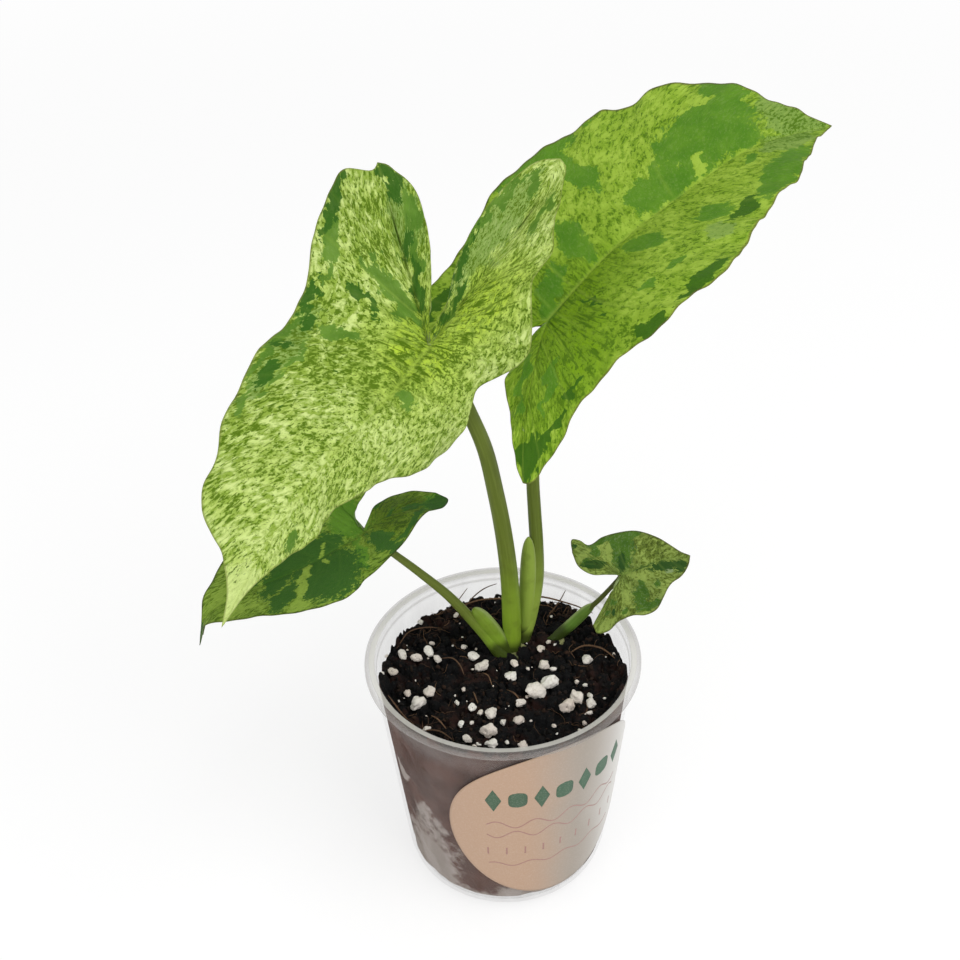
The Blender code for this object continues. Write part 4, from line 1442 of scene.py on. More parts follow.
@dataclass
class Fibres:
    """Coir fibres: thin curved strands on the soil, a few of them given one by one.

    Attributes:
        soil: What they lie on.
        count: Number of small strands laid at random.
        tufts: Where more of them gather, as (x, y, spread, number).
        routes: Strands given one by one, as (radius, points of x, y and height over the soil).
    """

    soil: Soil
    count: int = 60
    tufts: tuple[tuple[float, float, float, int], ...] = ((-10, 22.5, 4.5, 34), (13.5, 22.5, 5.5, 30),
                                                          (-21, 14.5, 3.5, 10), (-19, -17, 5, 14))
    routes: tuple[tuple[float, list[Point]], ...] = (
        (0.24, [(-12.5, 23.2, 1.2), (-6, 25, 1.9), (3, 25.6, 2.2), (12, 25.1, 2.2), (18, 23, 1.8),
                (23, 20.5, 1.0)]),
        (0.16, [(-10.5, 22.5, 0.3), (-7, 25.5, 2.8), (-3.5, 27, 4.6), (-1, 27.6, 5.4)]),
        (0.13, [(-13, 23, 0.4), (-10, 26.2, 3.0), (-8.5, 27.3, 4.4)]),
        (0.15, [(12, 21, 0.2), (15, 24, 2.6), (16.4, 25.6, 4.6)]),
        (0.14, [(8, 24, 0.4), (5, 26.5, 2.6), (2.5, 27.2, 3.6)]),
        (0.20, [(-19.5, -19, 0.5), (-16.8, -19.4, 1.4), (-14.6, -20, 1.3), (-12, -21.5, 0.4)]),
        (0.20, [(-27, -11, 0.4), (-24.5, -14.5, 1.3), (-22.5, -17, 1.3), (-20.5, -18, 0.4)]),
        (0.18, [(-15, 5.5, 0.5), (-12.3, 4.2, 1.5), (-10.2, 1.5, 1.2), (-9.4, -0.5, 0.4)]),
        (0.16, [(-5, 0, 0.5), (-3.6, -2, 1.3), (-2.7, -4.4, 0.5)]),
        (0.18, [(-7.2, -6.5, 0.5), (-6.8, -8.4, 1.3), (-6.1, -10.4, 0.5)]),
        (0.20, [(0.8, -5.8, 0.4), (2.6, -8, 1.4), (4.2, -10.2, 0.5)]),
        (0.18, [(-17, -13.8, 0.5), (-15.4, -16, 1.3), (-13.4, -18.4, 0.4)]),
        (0.22, [(16, 6, 0.4), (19.5, 7.6, 1.6), (24.5, 6.6, 1.3), (27.5, 4, 0.5)]),
        (0.16, [(-26, 10, 0.4), (-23, 14, 1.9), (-19, 16, 1.6), (-15, 16.4, 0.5)]),
    )

    def build(self) -> Piece:
        """Make every strand as a closed tube in one piece.

        Returns:
            The fibres' object.
        """
        rng = np.random.default_rng(31)
        shape = Shape()
        strands = []
        for radius, points in self.routes:
            placed = smooth_curve(points, 26)
            placed[:, 2] += self.soil.level(placed[:, 0], placed[:, 1])
            strands.append((placed, radius, rng.uniform(0.5, 1.0)))
        edge = self.soil.cup.wall_radius(self.soil.top) - self.soil.cup.wall - 1.2
        middles = [strewn(rng, self.count, edge).T]
        middles += [rng.normal((x, y), (spread, 0.45 * spread), (number, 2))
                    for x, y, spread, number in self.tufts]
        steps = np.linspace(-0.5, 0.5, 10)
        for number, middle in enumerate(np.concatenate(middles)):
            raised = rng.uniform(0, 1.1) * (number >= self.count)
            facing, bent = rng.uniform(0, 2 * math.pi), rng.normal(0, 0.32)
            length = rng.uniform(1.5, 7.0)
            heading = facing + bent * steps * 2
            x = middle[0] + length * steps * np.cos(heading)
            y = middle[1] + length * steps * np.sin(heading)
            inward = np.minimum(1, edge / np.maximum(np.hypot(x, y), 1e-6))
            x, y = x * inward, y * inward
            z = self.soil.crumbled(x, y)
            z = 0.5 * z + 0.5 * z.max() + 0.1 + raised * (0.4 + steps)
            placed = smooth_curve(np.stack([x, y, z], -1), 14)
            strands.append((placed, rng.uniform(0.04, 0.09), rng.uniform(0, 1)))
        for placed, radius, shade in strands:
            share = np.linspace(0, 1, len(placed))
            radii = radius * (0.35 + 0.65 * np.sin(np.pi * share) ** 0.5)
            points, faces = ring_tube(placed, round_rings(radii, 7), (0.1, 0.2, 1))
            shape.add(points, faces, shade=shade)
        finish = GrainFinish("2a1b15", "765a42", "46322a", 700.0, 0.7)
        piece = shape.build("coir_fibres", finish.material("coir_fibre"))
        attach(piece, BODY)
        return piece


@dataclass
class Perlite:
    """Perlite: chalky, pitted, faceted grains on the soil, the larger ones each its own piece.

    Attributes:
        soil: What they lie on.
        grains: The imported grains, as (x, y, size).
        small: Smaller grains made as one piece, as (x, y, size).
        dust: Number of the smallest ones, strewn at random.
        wider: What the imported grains' sizes are multiplied by, as their corners are worn off.
    """

    soil: Soil
    grains: tuple[Point, ...] = (
        (-24.5, 6.6, 2.6), (-21.0, 5.2, 2.4), (-18.0, 7.4, 2.7), (-16.0, 5.1, 2.0), (-26.5, 0.8, 2.1),
        (-7.2, 5.1, 2.6), (-4.8, 1.8, 3.2), (-22.8, -6.4, 1.9), (-20.0, -10.3, 3.8), (-17.4, -6.6, 2.8),
        (-7.5, -12.1, 1.9), (-3.0, -14.4, 2.6), (-3.5, -20.5, 3.4), (-3.0, -23.7, 2.5), (-8.5, -22.1, 1.9),
        (9.5, 6.8, 2.2), (20.5, 3.1, 2.7), (10.0, 1.4, 2.7), (11.3, -4.7, 4.0), (7.4, -7.9, 4.0),
        (2.6, 1.9, 1.9), (2.0, -1.9, 2.6), (4.0, -10.9, 2.1), (3.5, -16.4, 2.6), (-0.5, -17.1, 1.9),
        (17.2, -10.1, 3.4), (15.0, -13.2, 3.2), (20.4, -11.7, 2.5), (4.0, -24.8, 2.5))
    small: tuple[Point, ...] = (
        (-17.5, 11, 1.5), (-29, -1, 1.3), (-9.5, 9, 1.4), (-9.5, -5.5, 1.4), (-11, -10, 1.4),
        (-5.5, -13, 1.6), (-10, -17, 1.6), (-7.5, -16.5, 1.2), (-7, -24, 1.1), (-6, -23.5, 1.6),
        (-18, -18.5, 1.6), (11.5, 9.5, 1.5), (12, 0.5, 1.6), (6, 0.5, 1.0), (5.5, -8.5, 0.9),
        (20.5, -8.5, 1.7), (17.5, -4, 1.2), (19.5, -5, 1.2), (20, -14.5, 1.4), (11.5, -18, 1.2),
        (0.5, -23, 1.1), (17.5, -20, 1.4), (18.5, -18, 1.4), (27, 5.5, 0.7), (-11.5, 21, 1.5),
        (-20.5, 19, 1.5), (-28.5, 7, 1.0))
    dust: int = 46
    wider: float = 1.06

    def grain(self, shape: Shape, seed: int, place: Place, size: float, fine: int, shade: float) -> None:
        """Gather one grain.

        Its radius in a direction is set by the nearest of many random flats, softened by a power
        mean, and then broken up by lumps and one small pit.

        Args:
            shape: The piece that it joins.
            seed: Picks the grain's shape.
            place: Its x and y.
            size: Its width.
            fine: How often the ball's faces are divided.
            shade: How dusty it looks, from 0 to 1.
        """
        rng = np.random.default_rng(100 + seed)
        ways, faces = ball(fine)
        flats = unit(rng.normal(size=(15, 3)))
        closeness = np.clip(ways @ flats.T, 0.05, None) / rng.uniform(0.78, 1.0, 15)
        radius = 1 / (closeness**11).mean(1) ** (1 / 11)
        radius = np.minimum(radius / radius.mean(), 1.2)
        radius *= 0.92 + 0.09 * lumps(ways, rng, 16, 1.2) + 0.045 * lumps(ways, rng, 24, 0.4)
        pit = unit(rng.normal(size=3) * 0.8 + (0, -0.8, 1.0))
        pitted = np.exp(-(np.arccos(np.clip(ways @ pit, -1, 1)) / rng.uniform(0.2, 0.36)) ** 2)
        pitted *= rng.uniform(0, 1) ** 0.5
        radius *= 1 - 0.4 * pitted
        lump = ways * radius[:, None] * (size / 2) * rng.uniform([1.0, 0.74, 0.66], [1.2, 1.0, 0.95])
        turn = rng.uniform(0, 2 * np.pi)
        x, y, z = lump.T
        spun = np.stack([x * np.cos(turn) - y * np.sin(turn), x * np.sin(turn) + y * np.cos(turn), z], -1)
        seat = self.soil.level(*np.array(place)) + 0.25 - 0.2 * size * rng.uniform() - z.min()
        shape.add(spun + (*place, seat), faces, shade=shade, pit=pitted)

    def build(self) -> list[Piece]:
        """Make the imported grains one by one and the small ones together.

        Returns:
            The grains' objects.
        """
        chalk = GrainFinish("f1eee6", "ddd0c4", "bdb2a4", 1300.0, 0.95).material("perlite_chalk")
        pieces = []
        for number, (x, y, size) in enumerate(self.grains, 1):
            shape = Shape()
            self.grain(shape, number, (x, y), size * self.wider, 4, (number * 0.37) % 1)
            piece = shape.build(f"perlite_grain_{number:02d}", chalk)
            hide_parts(f"perlite_{number:02d}")
            pieces.append(piece)
        shape = Shape()
        for number, (x, y, size) in enumerate(self.small, SMALL_SEEDS):
            self.grain(shape, number, (x, y), size, 3, (number * 0.37) % 1)
        rng = np.random.default_rng(77)
        for number in range(self.dust):
            place = strewn(rng, 1, 28)[:, 0]
            self.grain(shape, DUST_SEEDS + number, place, rng.uniform(0.35, 0.85), 2, rng.uniform(0, 1))
        pieces.append(shape.build("perlite_crumbs", chalk))
        for piece in pieces:
            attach(piece, BODY)
        return pieces


@dataclass
class Crown:
    """What is buried: the crown with its roots, and the foot of the side shoot.

    Attributes:
        place, shoot_place: Where the two stumps stand.
        top: Height of both.
        foot, radius: Of the crown; shoot_foot and shoot_radius are the side shoot's.
        roots: As (degrees round from +X, reach, height of the tip).
        root_radius: Where they leave the crown.
    """

    place: Place = (2.3, 8.6)
    shoot_place: Place = (13.8, 11.0)
    top: float = 57.4
    foot: float = 42.0
    radius: float = 4.6
    shoot_foot: float = 47.0
    shoot_radius: float = 1.9
    roots: tuple[Point, ...] = ((20, 17, 30), (95, 12, 22), (165, 18, 34), (235, 20, 18), (305, 19, 26))
    root_radius: float = 0.8

    def stump(self, place: Place, low: float, radius: float) -> Surface:
        """Shape a lumpy upright stump that is widest near its rounded top.

        Args:
            place: Its x and y.
            low: Height of its foot.
            radius: Where it is widest.

        Returns:
            The points and the faces.
        """
        steps, sides = 40, 36
        share = np.linspace(0, 1, steps)
        z = low + (self.top - low) * np.sin(share * np.pi / 2)
        width = radius * (0.55 + 0.45 * share) * rounded_off(share)
        knobs = 1 + 0.06 * np.cos(5 * turns(sides)) * np.sin(9 * share)[:, None]
        route = np.stack([np.full(steps, place[0]), np.full(steps, place[1]), z], -1)
        return ring_tube(route, (width[:, None] * knobs)[..., None] * circle(sides), (1, 0, 0))

    def build(self) -> list[Piece]:
        """Make the crown with its roots as one piece, and the side shoot's foot as another.

        Returns:
            The two objects.
        """
        finish = StalkFinish(foot="a39a78", stem="8a8f5c", top="7d8f3f")
        skin = finish.material("crown_skin")
        pieces = []
        for name, node, place, low, radius in (
                ("buried_crown", "crown", self.place, self.foot, self.radius),
                ("shoot_foot", "side_shoot", self.shoot_place, self.shoot_foot, self.shoot_radius)):
            shape = Shape()
            points, faces = self.stump(place, low, radius)
            shape.add(points, faces, rise=0.3 * ease(points[:, 2], low, self.top), lip=0.0,
                      flow=points[:, :2] / 10)
            if node == "crown":
                for turn, reach, tip in self.roots:
                    points, faces = self.root(turn, reach, tip)
                    shape.add(points, faces, rise=0.0, lip=0.0, flow=points[:, :2] / 10)
            piece = shape.build(name, skin)
            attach(piece, BODY)
            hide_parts(node)
            pieces.append(piece)
        return pieces

    def root(self, turn: float, reach: float, tip: float) -> Surface:
        """Shape a root: a thin tapering tube that bows out from the crown and down.

        Args:
            turn: Degrees round from +X.
            reach: How far out it goes.
            tip: Height of its end.

        Returns:
            The points and the faces.
        """
        way = np.array([math.cos(math.radians(turn)), math.sin(math.radians(turn))])
        start = np.array([*self.place, self.foot + 4])
        end = np.array([*(self.place + way * reach), tip])
        bow = np.array([*(self.place + way * 0.7 * reach), self.foot - 2])
        route = smooth_curve([start, bow, end], 30)
        radii = np.linspace(self.root_radius, 0.4 * self.root_radius, 30)
        return ring_tube(route, round_rings(radii, 10), (way[1], -way[0], 0))


@dataclass
class Label:
    """The round label on the wall, with plain ornaments printed on it.

    Attributes:
        cup: The cup that it wraps.
        radius: Of the disc.
        centre_height: Height of its middle.
        turn: Degrees round from the front, towards +X.
        lift: Clearance over the wall.
        thickness: Of the paper.
    """

    cup: Cup
    radius: float = 27.0
    centre_height: float = 33.5
    turn: float = 27.0
    lift: float = 0.3
    thickness: float = 0.25

    def wrap(self, across: Array, up: Array, lift: Array | float) -> Array:
        """Carry flat places on the label onto the cup's wall.

        The wall is a cone: a place's height is its own, and its turn is its way across divided
        by the wall's radius at the label's middle.

        Args:
            across, up: Places measured from the label's middle.
            lift: Clearance over the wall.

        Returns:
            The places round the cup.
        """
        height = self.centre_height + up
        turn = math.radians(self.turn) + across / self.cup.wall_radius(self.centre_height)
        reach = self.cup.wall_radius(height) + lift
        return np.stack([reach * np.sin(turn), -reach * np.cos(turn), height], -1)

    @staticmethod
    def painted_shade(across: Array) -> Array:
        """Return the painted shade on the stock: 0 at its lit right edge, rising to 1 near its left one."""
        return np.clip((26 - across) / 37, 0, 1)

    def paper(self) -> Piece:
        """Make the label's disc: rings of points on both sides, joined round the edge.

        Returns:
            The label's object.
        """
        rings, spokes = 40, 180
        disc = around(np.linspace(0, self.radius, rings + 1)[1:, None], turns(spokes), 0.0)
        across, up = (np.concatenate([[0], disc[..., axis].ravel(), disc[::-1, :, axis].ravel(), [0]])
                      for axis in (0, 1))
        lift = np.repeat([self.lift + self.thickness, self.lift], 1 + rings * spokes)
        shape = Shape()
        shape.add(self.wrap(across, up, lift), closed_faces(2 * rings, spokes, flip=True),
                  shade=self.painted_shade(across))
        piece = shape.build("round_label", PaperFinish().material("label_stock"))
        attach(piece, BODY)
        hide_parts("label")
        return piece

    def mark(self, shape: Shape, line: Array, widths: Array, lift: float = 0.02) -> None:
        """Gather a printed stroke: a flat ribbon along a flat line.

        Args:
            shape: The print that it joins.
            line: Places along its middle.
            widths: Half of its width at each of them.
            lift: Clearance over the paper.
        """
        along = unit(np.gradient(line, axis=0))
        side = np.stack([-along[:, 1], along[:, 0]], -1)
        share = np.linspace(-1, 1, 5)
        flat = line[:, None] + side[:, None] * widths[:, None, None] * share[:, None]
        placed = self.wrap(flat[..., 0], flat[..., 1], self.lift + self.thickness + lift)
        shape.add(placed, grid_faces(len(line), 5, flip=True), shade=self.painted_shade(flat[..., 0]))

    def print(self) -> list[Piece]:
        """Print a straight row of bold lozenges and bars, and thin wavy lines with ticks.

        Returns:
            The bold print and the fine print.
        """
        bold = Shape()
        for number in range(-3, 4):
            tall, wide = (4.0, 1.8) if number % 2 else (2.7, 2.1)
            share = np.linspace(-1, 1, 24)
            line = np.stack([np.full(24, number * 5.4), 11.5 + np.linspace(-tall, tall, 24)], -1)
            widths = wide * ((1 - np.abs(share)) if number % 2 else np.sqrt(np.clip(1 - share**4, 0, 1)))
            self.mark(bold, line, widths + 0.02)
        thin = Shape()
        run = np.linspace(-18, 18, 160)
        for height, size, phase in ((2.2, 1.2, 0.0), (-1.6, 1.2, math.pi), (-13.5, 0.7, 0.5)):
            line = np.stack([run, height + size * np.sin(run * 2 * np.pi / 9 + phase)], -1)
            self.mark(thin, line, np.full(160, 0.16))
        for number in range(-4, 5):
            line = np.stack([np.full(8, number * 4.5), -8.2 + np.linspace(-1.3, 1.3, 8)], -1)
            self.mark(thin, line, np.full(8, 0.2))
        # The inks' second and third tints carry the same painted shade as the stock.
        green = PaperFinish("5b7a66", "4b6b55", "46614a").material("green_ink")
        rose = PaperFinish("b79a95", "ad8a84", "a57d74").material("rose_ink")
        pieces = [bold.build("label_bold_print", green), thin.build("label_fine_print", rose)]
        for piece in pieces:
            solid = piece.modifiers.new("Ink", "SOLIDIFY")
            solid.thickness = 0.03 * MM
            solid.offset = -1
            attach(piece, BODY)
        return pieces


# ---- room


@dataclass
class Studio:
    """A pale floor, soft light and the camera that looks down on the plant.

    Attributes:
        camera_place: In metres.
        camera_turn: XYZ angles in degrees.
        lens: Focal length in millimetres for a 36 mm wide frame.
        key, fill: Power of the two soft lamps.
        sky: Strength of the even light from all round.
    """

    camera_place: Point = (0.0, -0.25763, 0.29991)
    camera_turn: Point = (54.208, 1.5825, -0.2595)
    lens: float = 54.6
    key: float = 5.4
    fill: float = 2.6
    sky: float = 0.56

    def camera(self) -> None:
        """Add the camera and make it the scene's own."""
        data = bpy.data.cameras.new("camera")
        data.lens = self.lens
        data.sensor_width = 36.0
        data.clip_start = 0.01
        camera = bpy.data.objects.new("camera", data)
        camera.location = self.camera_place
        camera.rotation_euler = [math.radians(turn) for turn in self.camera_turn]
        bpy.context.scene.collection.objects.link(camera)
        bpy.context.scene.camera = camera

    def lamp(self, name: str, place: Point, size: float, power: float) -> None:
        """Add a square soft lamp that faces the plant's middle.

        Args:
            name: Its name.
            place: In metres.
            size: Length of its side in metres.
            power: In watts.
        """
        data = bpy.data.lights.new(name, "AREA")
        data.size = size
        data.energy = power
        lamp = bpy.data.objects.new(name, data)
        lamp.location = place
        low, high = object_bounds()
        middle = (low + high) / 2
        lamp.rotation_euler = (middle - lamp.location).to_track_quat("-Z", "Y").to_euler()
        bpy.context.scene.collection.objects.link(lamp)

    def world(self) -> None:
        """Light the scene evenly from all round, and show white behind it."""
        world = bpy.data.worlds.new("sky")
        world.use_nodes = True
        tree = world.node_tree
        even = tree.nodes["Background"]
        shown, ray, mix = (tree.nodes.new("ShaderNode" + kind)
                           for kind in ("Background", "LightPath", "MixShader"))
        for node, strength in ((even, self.sky), (shown, 1.0)):
            node.inputs["Color"].default_value = (1, 1, 1, 1)
            node.inputs["Strength"].default_value = strength
        for number, end in enumerate((ray.outputs["Is Camera Ray"], even.outputs[0], shown.outputs[0])):
            tree.links.new(end, mix.inputs[number])
        tree.links.new(mix.outputs[0], tree.nodes["World Output"].inputs["Surface"])
        bpy.context.scene.world = world

    def floor(self) -> None:
        """Lay the pale floor just under the plant, lifted towards white where the camera sees it."""
        reach, gap = 3.0, 0.0001
        mesh = bpy.data.meshes.new("floor")
        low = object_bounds()[0].z - gap
        corners = [(-reach, -reach, low), (reach, -reach, low), (reach, reach, low), (-reach, reach, low)]
        mesh.from_pydata(corners, [], [(0, 1, 2, 3)])
        floor = bpy.data.objects.new("floor", mesh)
        bpy.context.scene.collection.objects.link(floor)
        shader = Shader("pale_floor")
        grain = shader.noise(shader.place(), 6.0, 2.0)
        colour = shader.mix(grain, (0.90, 0.90, 0.895, 1), (0.93, 0.93, 0.925, 1))
        mesh.materials.append(shader.dress(colour, 0.9, Specular_IOR_Level=0.1))
        glow = shader.node("Emission", {"Color": (1, 1, 1, 1), "Strength": 0.72}).outputs[0]
        dull = shader.node("BsdfDiffuse", {"Color": (0.32, 0.32, 0.32, 1)}).outputs[0]
        near = shader.node("AddShader", {0: glow, 1: dull}).outputs[0]
        white = shader.node("Emission", {"Color": (1, 1, 1, 1)}).outputs[0]
        away = shader.node("VectorMath", {0: shader.place()}, operation="LENGTH").outputs["Value"]
        seen = shader.node("MixShader", {0: shader.step(away, 0.3, 1.0), 1: near, 2: white}).outputs[0]
        ray = shader.node("LightPath").outputs["Is Camera Ray"]
        mix = shader.node("MixShader", {0: ray, 1: shader.principled.outputs[0], 2: seen})
        shader.feed(shader.tree.nodes["Material Output"].inputs["Surface"], mix.outputs[0])
        floor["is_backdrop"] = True

    def build(self) -> None:
        """Set up the camera, lamps, sky and floor."""
        self.camera()
        self.lamp("key_lamp", (0.45, -0.35, 0.95), 0.7, self.key)
        self.lamp("fill_lamp", (-0.5, -0.8, 0.32), 0.6, self.fill)
        self.world()
        self.floor()
        bpy.context.scene.view_settings.view_transform = "Standard"


# ---- this plant's own tables


def front_blade() -> Blade:
    """The large pale blade that hangs towards the front."""
    left = Half(
        inner=[(-1, 1.5), (-11, 8.5), (-18, 15.5), (-22.3, 22.5), (-22.5, 27), (-22.6, 29), (-21.8, 31.2)],
        outer=[(-20.6, 30.9), (-16.5, 35.5), (-10.5, 35.5), (-2, 32), (5.5, 27), (11, 25.5), (24, 25),
               (32.5, 22), (38, 20.5), (44.5, 17), (49.5, 16), (55, 12), (59, 6), (64.5, 2.5), (72, 0)],
        shoulder=5, vein=(-14.5, 21), bends=[(-40, 22, -6), (0, 12, -6), (40, 3, -5), (80, 8, -5)])
    right = Half(
        inner=[(-1, 1.5), (-8, 2.5), (-15.5, 6), (-27.5, 8.5), (-36.5, 7.9), (-42.5, 5.9), (-44.9, 3.4)],
        outer=[(-44.6, 1.6), (-40.8, -0.9), (-34.5, -5), (-29, -9), (-23.5, -9.5), (-16.5, -13.5),
               (-11, -16.5), (-6, -16), (1, -14), (5, -16.5), (11, -20.5), (17.5, -17), (24, -13),
               (31.5, -10), (39, -8), (49.5, -7.5), (56.5, -3.5), (62, -1.5), (72, 0)],
        shoulder=8, vein=(-34, 1), fine=1.8,
        bends=[(-40, 35, -4), (-10, 32, -6), (8, -4, -16), (25, -10, -26), (40, -18, -28), (60, -22, -30),
               (75, -10, -10)])
    patches = {
        Tone.DARK: [
            (-9.5, 33.6, 7.5, 1.5, -26), (-19.5, 25, 3, 1.8, -55), (-21.4, 30, 1.6, 2), (-22, 28, 1.2, 4),
            (-13.5, 16, 3.2, 1.3, -30), (-8, 9.6, 6, 1.1, 132), (0.8, 16.5, 4.5, 0.7, 102),
            (7, 25, 5, 1.3, -12), (12, 22, 2.8, 1.8, 20), (19, 22, 2.4, 1.2, 20), (26, 20.6, 2.8, 1.2, -15),
            (-16, 5.4, 8, 1, -14), (-9, 1.6, 6, 0.9, -8)],
        Tone.SOLID: [
            (-3, 28.5, 7, 1.4, -40), (-18, 19, 4, 1.8, -50), (-12, 12.6, 5, 1, -40),
            (-3.5, 12, 8.5, 2.2, 103), (24, 18.2, 8, 0.8, -4), (33, 20, 4, 0.9, -20), (20, 24, 10, 0.9, -3),
            (9.5, 15.5, 4.5, 1.6, 70), (49.5, -4, 2.6, 1.3, -10), (11.5, -3.2, 1.3, 1.9, 20),
            (-27, 7.4, 12, 1.1, 3), (-39, 4.6, 3.5, 1, -20), (-34, -1.5, 5, 1.1, -15)],
        # The silver patches on the lobes are partly painted sheen.
        Tone.SILVER: [(-16, 19, 8, 4, -50), (19, 21.5, 14, 3.2, -8), (-26, 4.2, 16, 2.9, -5)],
        Tone.FLECK: [
            (10, -1.5, 5, 3, -15), (14, 11, 9, 6, 10), (36, 19, 12, 2, -22), (-14, 22, 7, 9, -40),
            (18, 20, 16, 6, -8)],
        Tone.PALE: [(66, 0.4, 9, 5)],
        Tone.GLOW: [(2, 1, 12, 9, 10), (-12, -4, 12, 6, 5)]}
    finish = LeafFinish(
        light="e0f398", pale="cae277", fleck="99b745", deep_fleck="597b0e", solid="6c9733",
        solid_shade="588526", dark="3b6c1a", silver="84a752", glow="bcda32", vein="b4cf55", margin="8f9c4a",
        cover=0.53, grain=7.2, streak=0.68, torn=2.1, crinkle=0.3)
    return Blade(
        "a", [(7.5, 7, 172), (-2.5, 0, 162.5), (-13, -6, 152), (-21.5, -15, 145.5), (-31, -26, 141),
              (-41, -39, 134), (-54, -47, 114.5)],
        (-0.8, 0.35, 0.5), left, right, patches, finish, sweep=0.8, lean=1.5, pleat=0.22, groove=0.6)


def tall_blade() -> Blade:
    """The tallest blade, with broad plain green areas, reaching back to the right."""
    left = Half(
        inner=[(-1, -0.3), (-8, 4), (-16, 9), (-22, 15), (-24, 20), (-23, 22.4)],
        outer=[(-20, 24.5), (-9, 27), (4.5, 28), (14.5, 31.5), (23, 33), (32, 32.5), (40.5, 32.5),
               (47, 32.5), (53, 29.5), (58.5, 29.5), (64, 26), (70.5, 19), (77.5, 8.5), (84, 0)],
        shoulder=3, vein=(-15.5, 15.2), bends=[(-50, 14, -5), (0, 22, -4), (40, 18, -4), (80, 14, -4)])
    right = Half(
        inner=[(-1, -0.3), (-8, -0.2), (-15.5, -2.4), (-21.2, -8.4), (-28.2, -16.5), (-31.8, -20.2),
               (-33, -22.4)],
        outer=[(-32.6, -23.7), (-31, -24.7), (-28, -24.9), (-21.5, -24.5), (-13.5, -23.5), (-5, -24.5),
               (3.5, -28.8), (11, -33), (17.5, -33.8), (24, -35.5), (32.5, -32), (44.5, -27), (52.5, -24),
               (61.5, -21.5), (71, -14), (78.5, -5), (84, 0)],
        shoulder=6, vein=(-24, -15.8),
        bends=[(-40, 0, -6), (-10, 10, -6), (10, 22, -5), (40, 20, -4), (80, 14, -4)])
    patches = {
        Tone.SOLID: [
            (40, 5, 8.6, 4.8, 8), (58, 9.5, 11.5, 8.6, 8), (66, 17, 4.5, 8, -25), (49, 11.6, 5, 3, 20),
            (47, 3, 5, 3), (63, 3, 6, 3), (18, 7, 3.2, 6.8, -8), (5, 3, 7, 2.8, 30), (29, 31.6, 13, 2.2, 2),
            (31, 22.5, 3.2, 8.5, 4), (25.5, -8.5, 7, 2.6, -68), (61, -16, 13.5, 4.4, 29),
            (40, -15, 5, 3, -20), (61, -4.8, 2.8, 1.8, 60), (15, -21, 2.2, 1.4), (22, -22.5, 3, 1.6, 20),
            (-13, -14, 7, 1.2, 28), (-15, -7, 8, 1.1, 40), (4, 15.5, 12, 1.3, 4)],
        Tone.DARK: [
            (44, -21, 5, 2.4, 10), (21, -32.4, 8, 2.2, -2), (7, -29.5, 4.5, 2, -35), (7, -9, 0.6, 3.6, 12),
            (5, -15, 0.5, 1.4), (-28, -21, 5, 3.2, 30), (-21, -21, 5, 0.9, 4), (-11, -20.2, 3.5, 0.7, -6),
            (-12, 23, 6, 1.4, -10)],
        Tone.SILVER: [
            (35, -23, 3.4, 3), (22.5, -32, 1.4, 1.6), (8, 22, 14, 3.2, 14), (76, 6, 6, 9, 20),
            (71, -4, 7, 5, 10)],
        Tone.FLECK: [(-16, -19, 12, 4, 5), (74, 3, 9, 12), (4, 2, 9, 6, 20), (-15, -15, 16, 9, 20)],
        Tone.PALE: [(52, 3.8, 3.4, 1.2, 40), (62.5, 19.6, 2.6, 1.6)],
        Tone.GLOW: [(4, -3, 17, 10), (-4, -15, 12, 8, 20)]}
    finish = LeafFinish(
        light="a9c947", pale="94b735", fleck="7ca222", deep_fleck="557c0c", solid="5e901f",
        solid_shade="51861a", dark="3c6a10", silver="88a853", glow="7ba600", vein="a6c24c", margin="6d5f35",
        cover=0.46, grain=6.5, streak=0.66, torn=1.15, crinkle=0.2)
    return Blade(
        "b", [(-13, 0, 121.5), (-1.5, 9.5, 132.5), (11.5, 20, 142.5), (27.5, 33, 153.5), (45.5, 46, 161),
              (59.5, 54, 166.5), (78, 60, 168.5)],
        (-0.52, 0.85, 0.08), left, right, patches, finish, lean=1.35, groove=0.34, pleat=0.06)


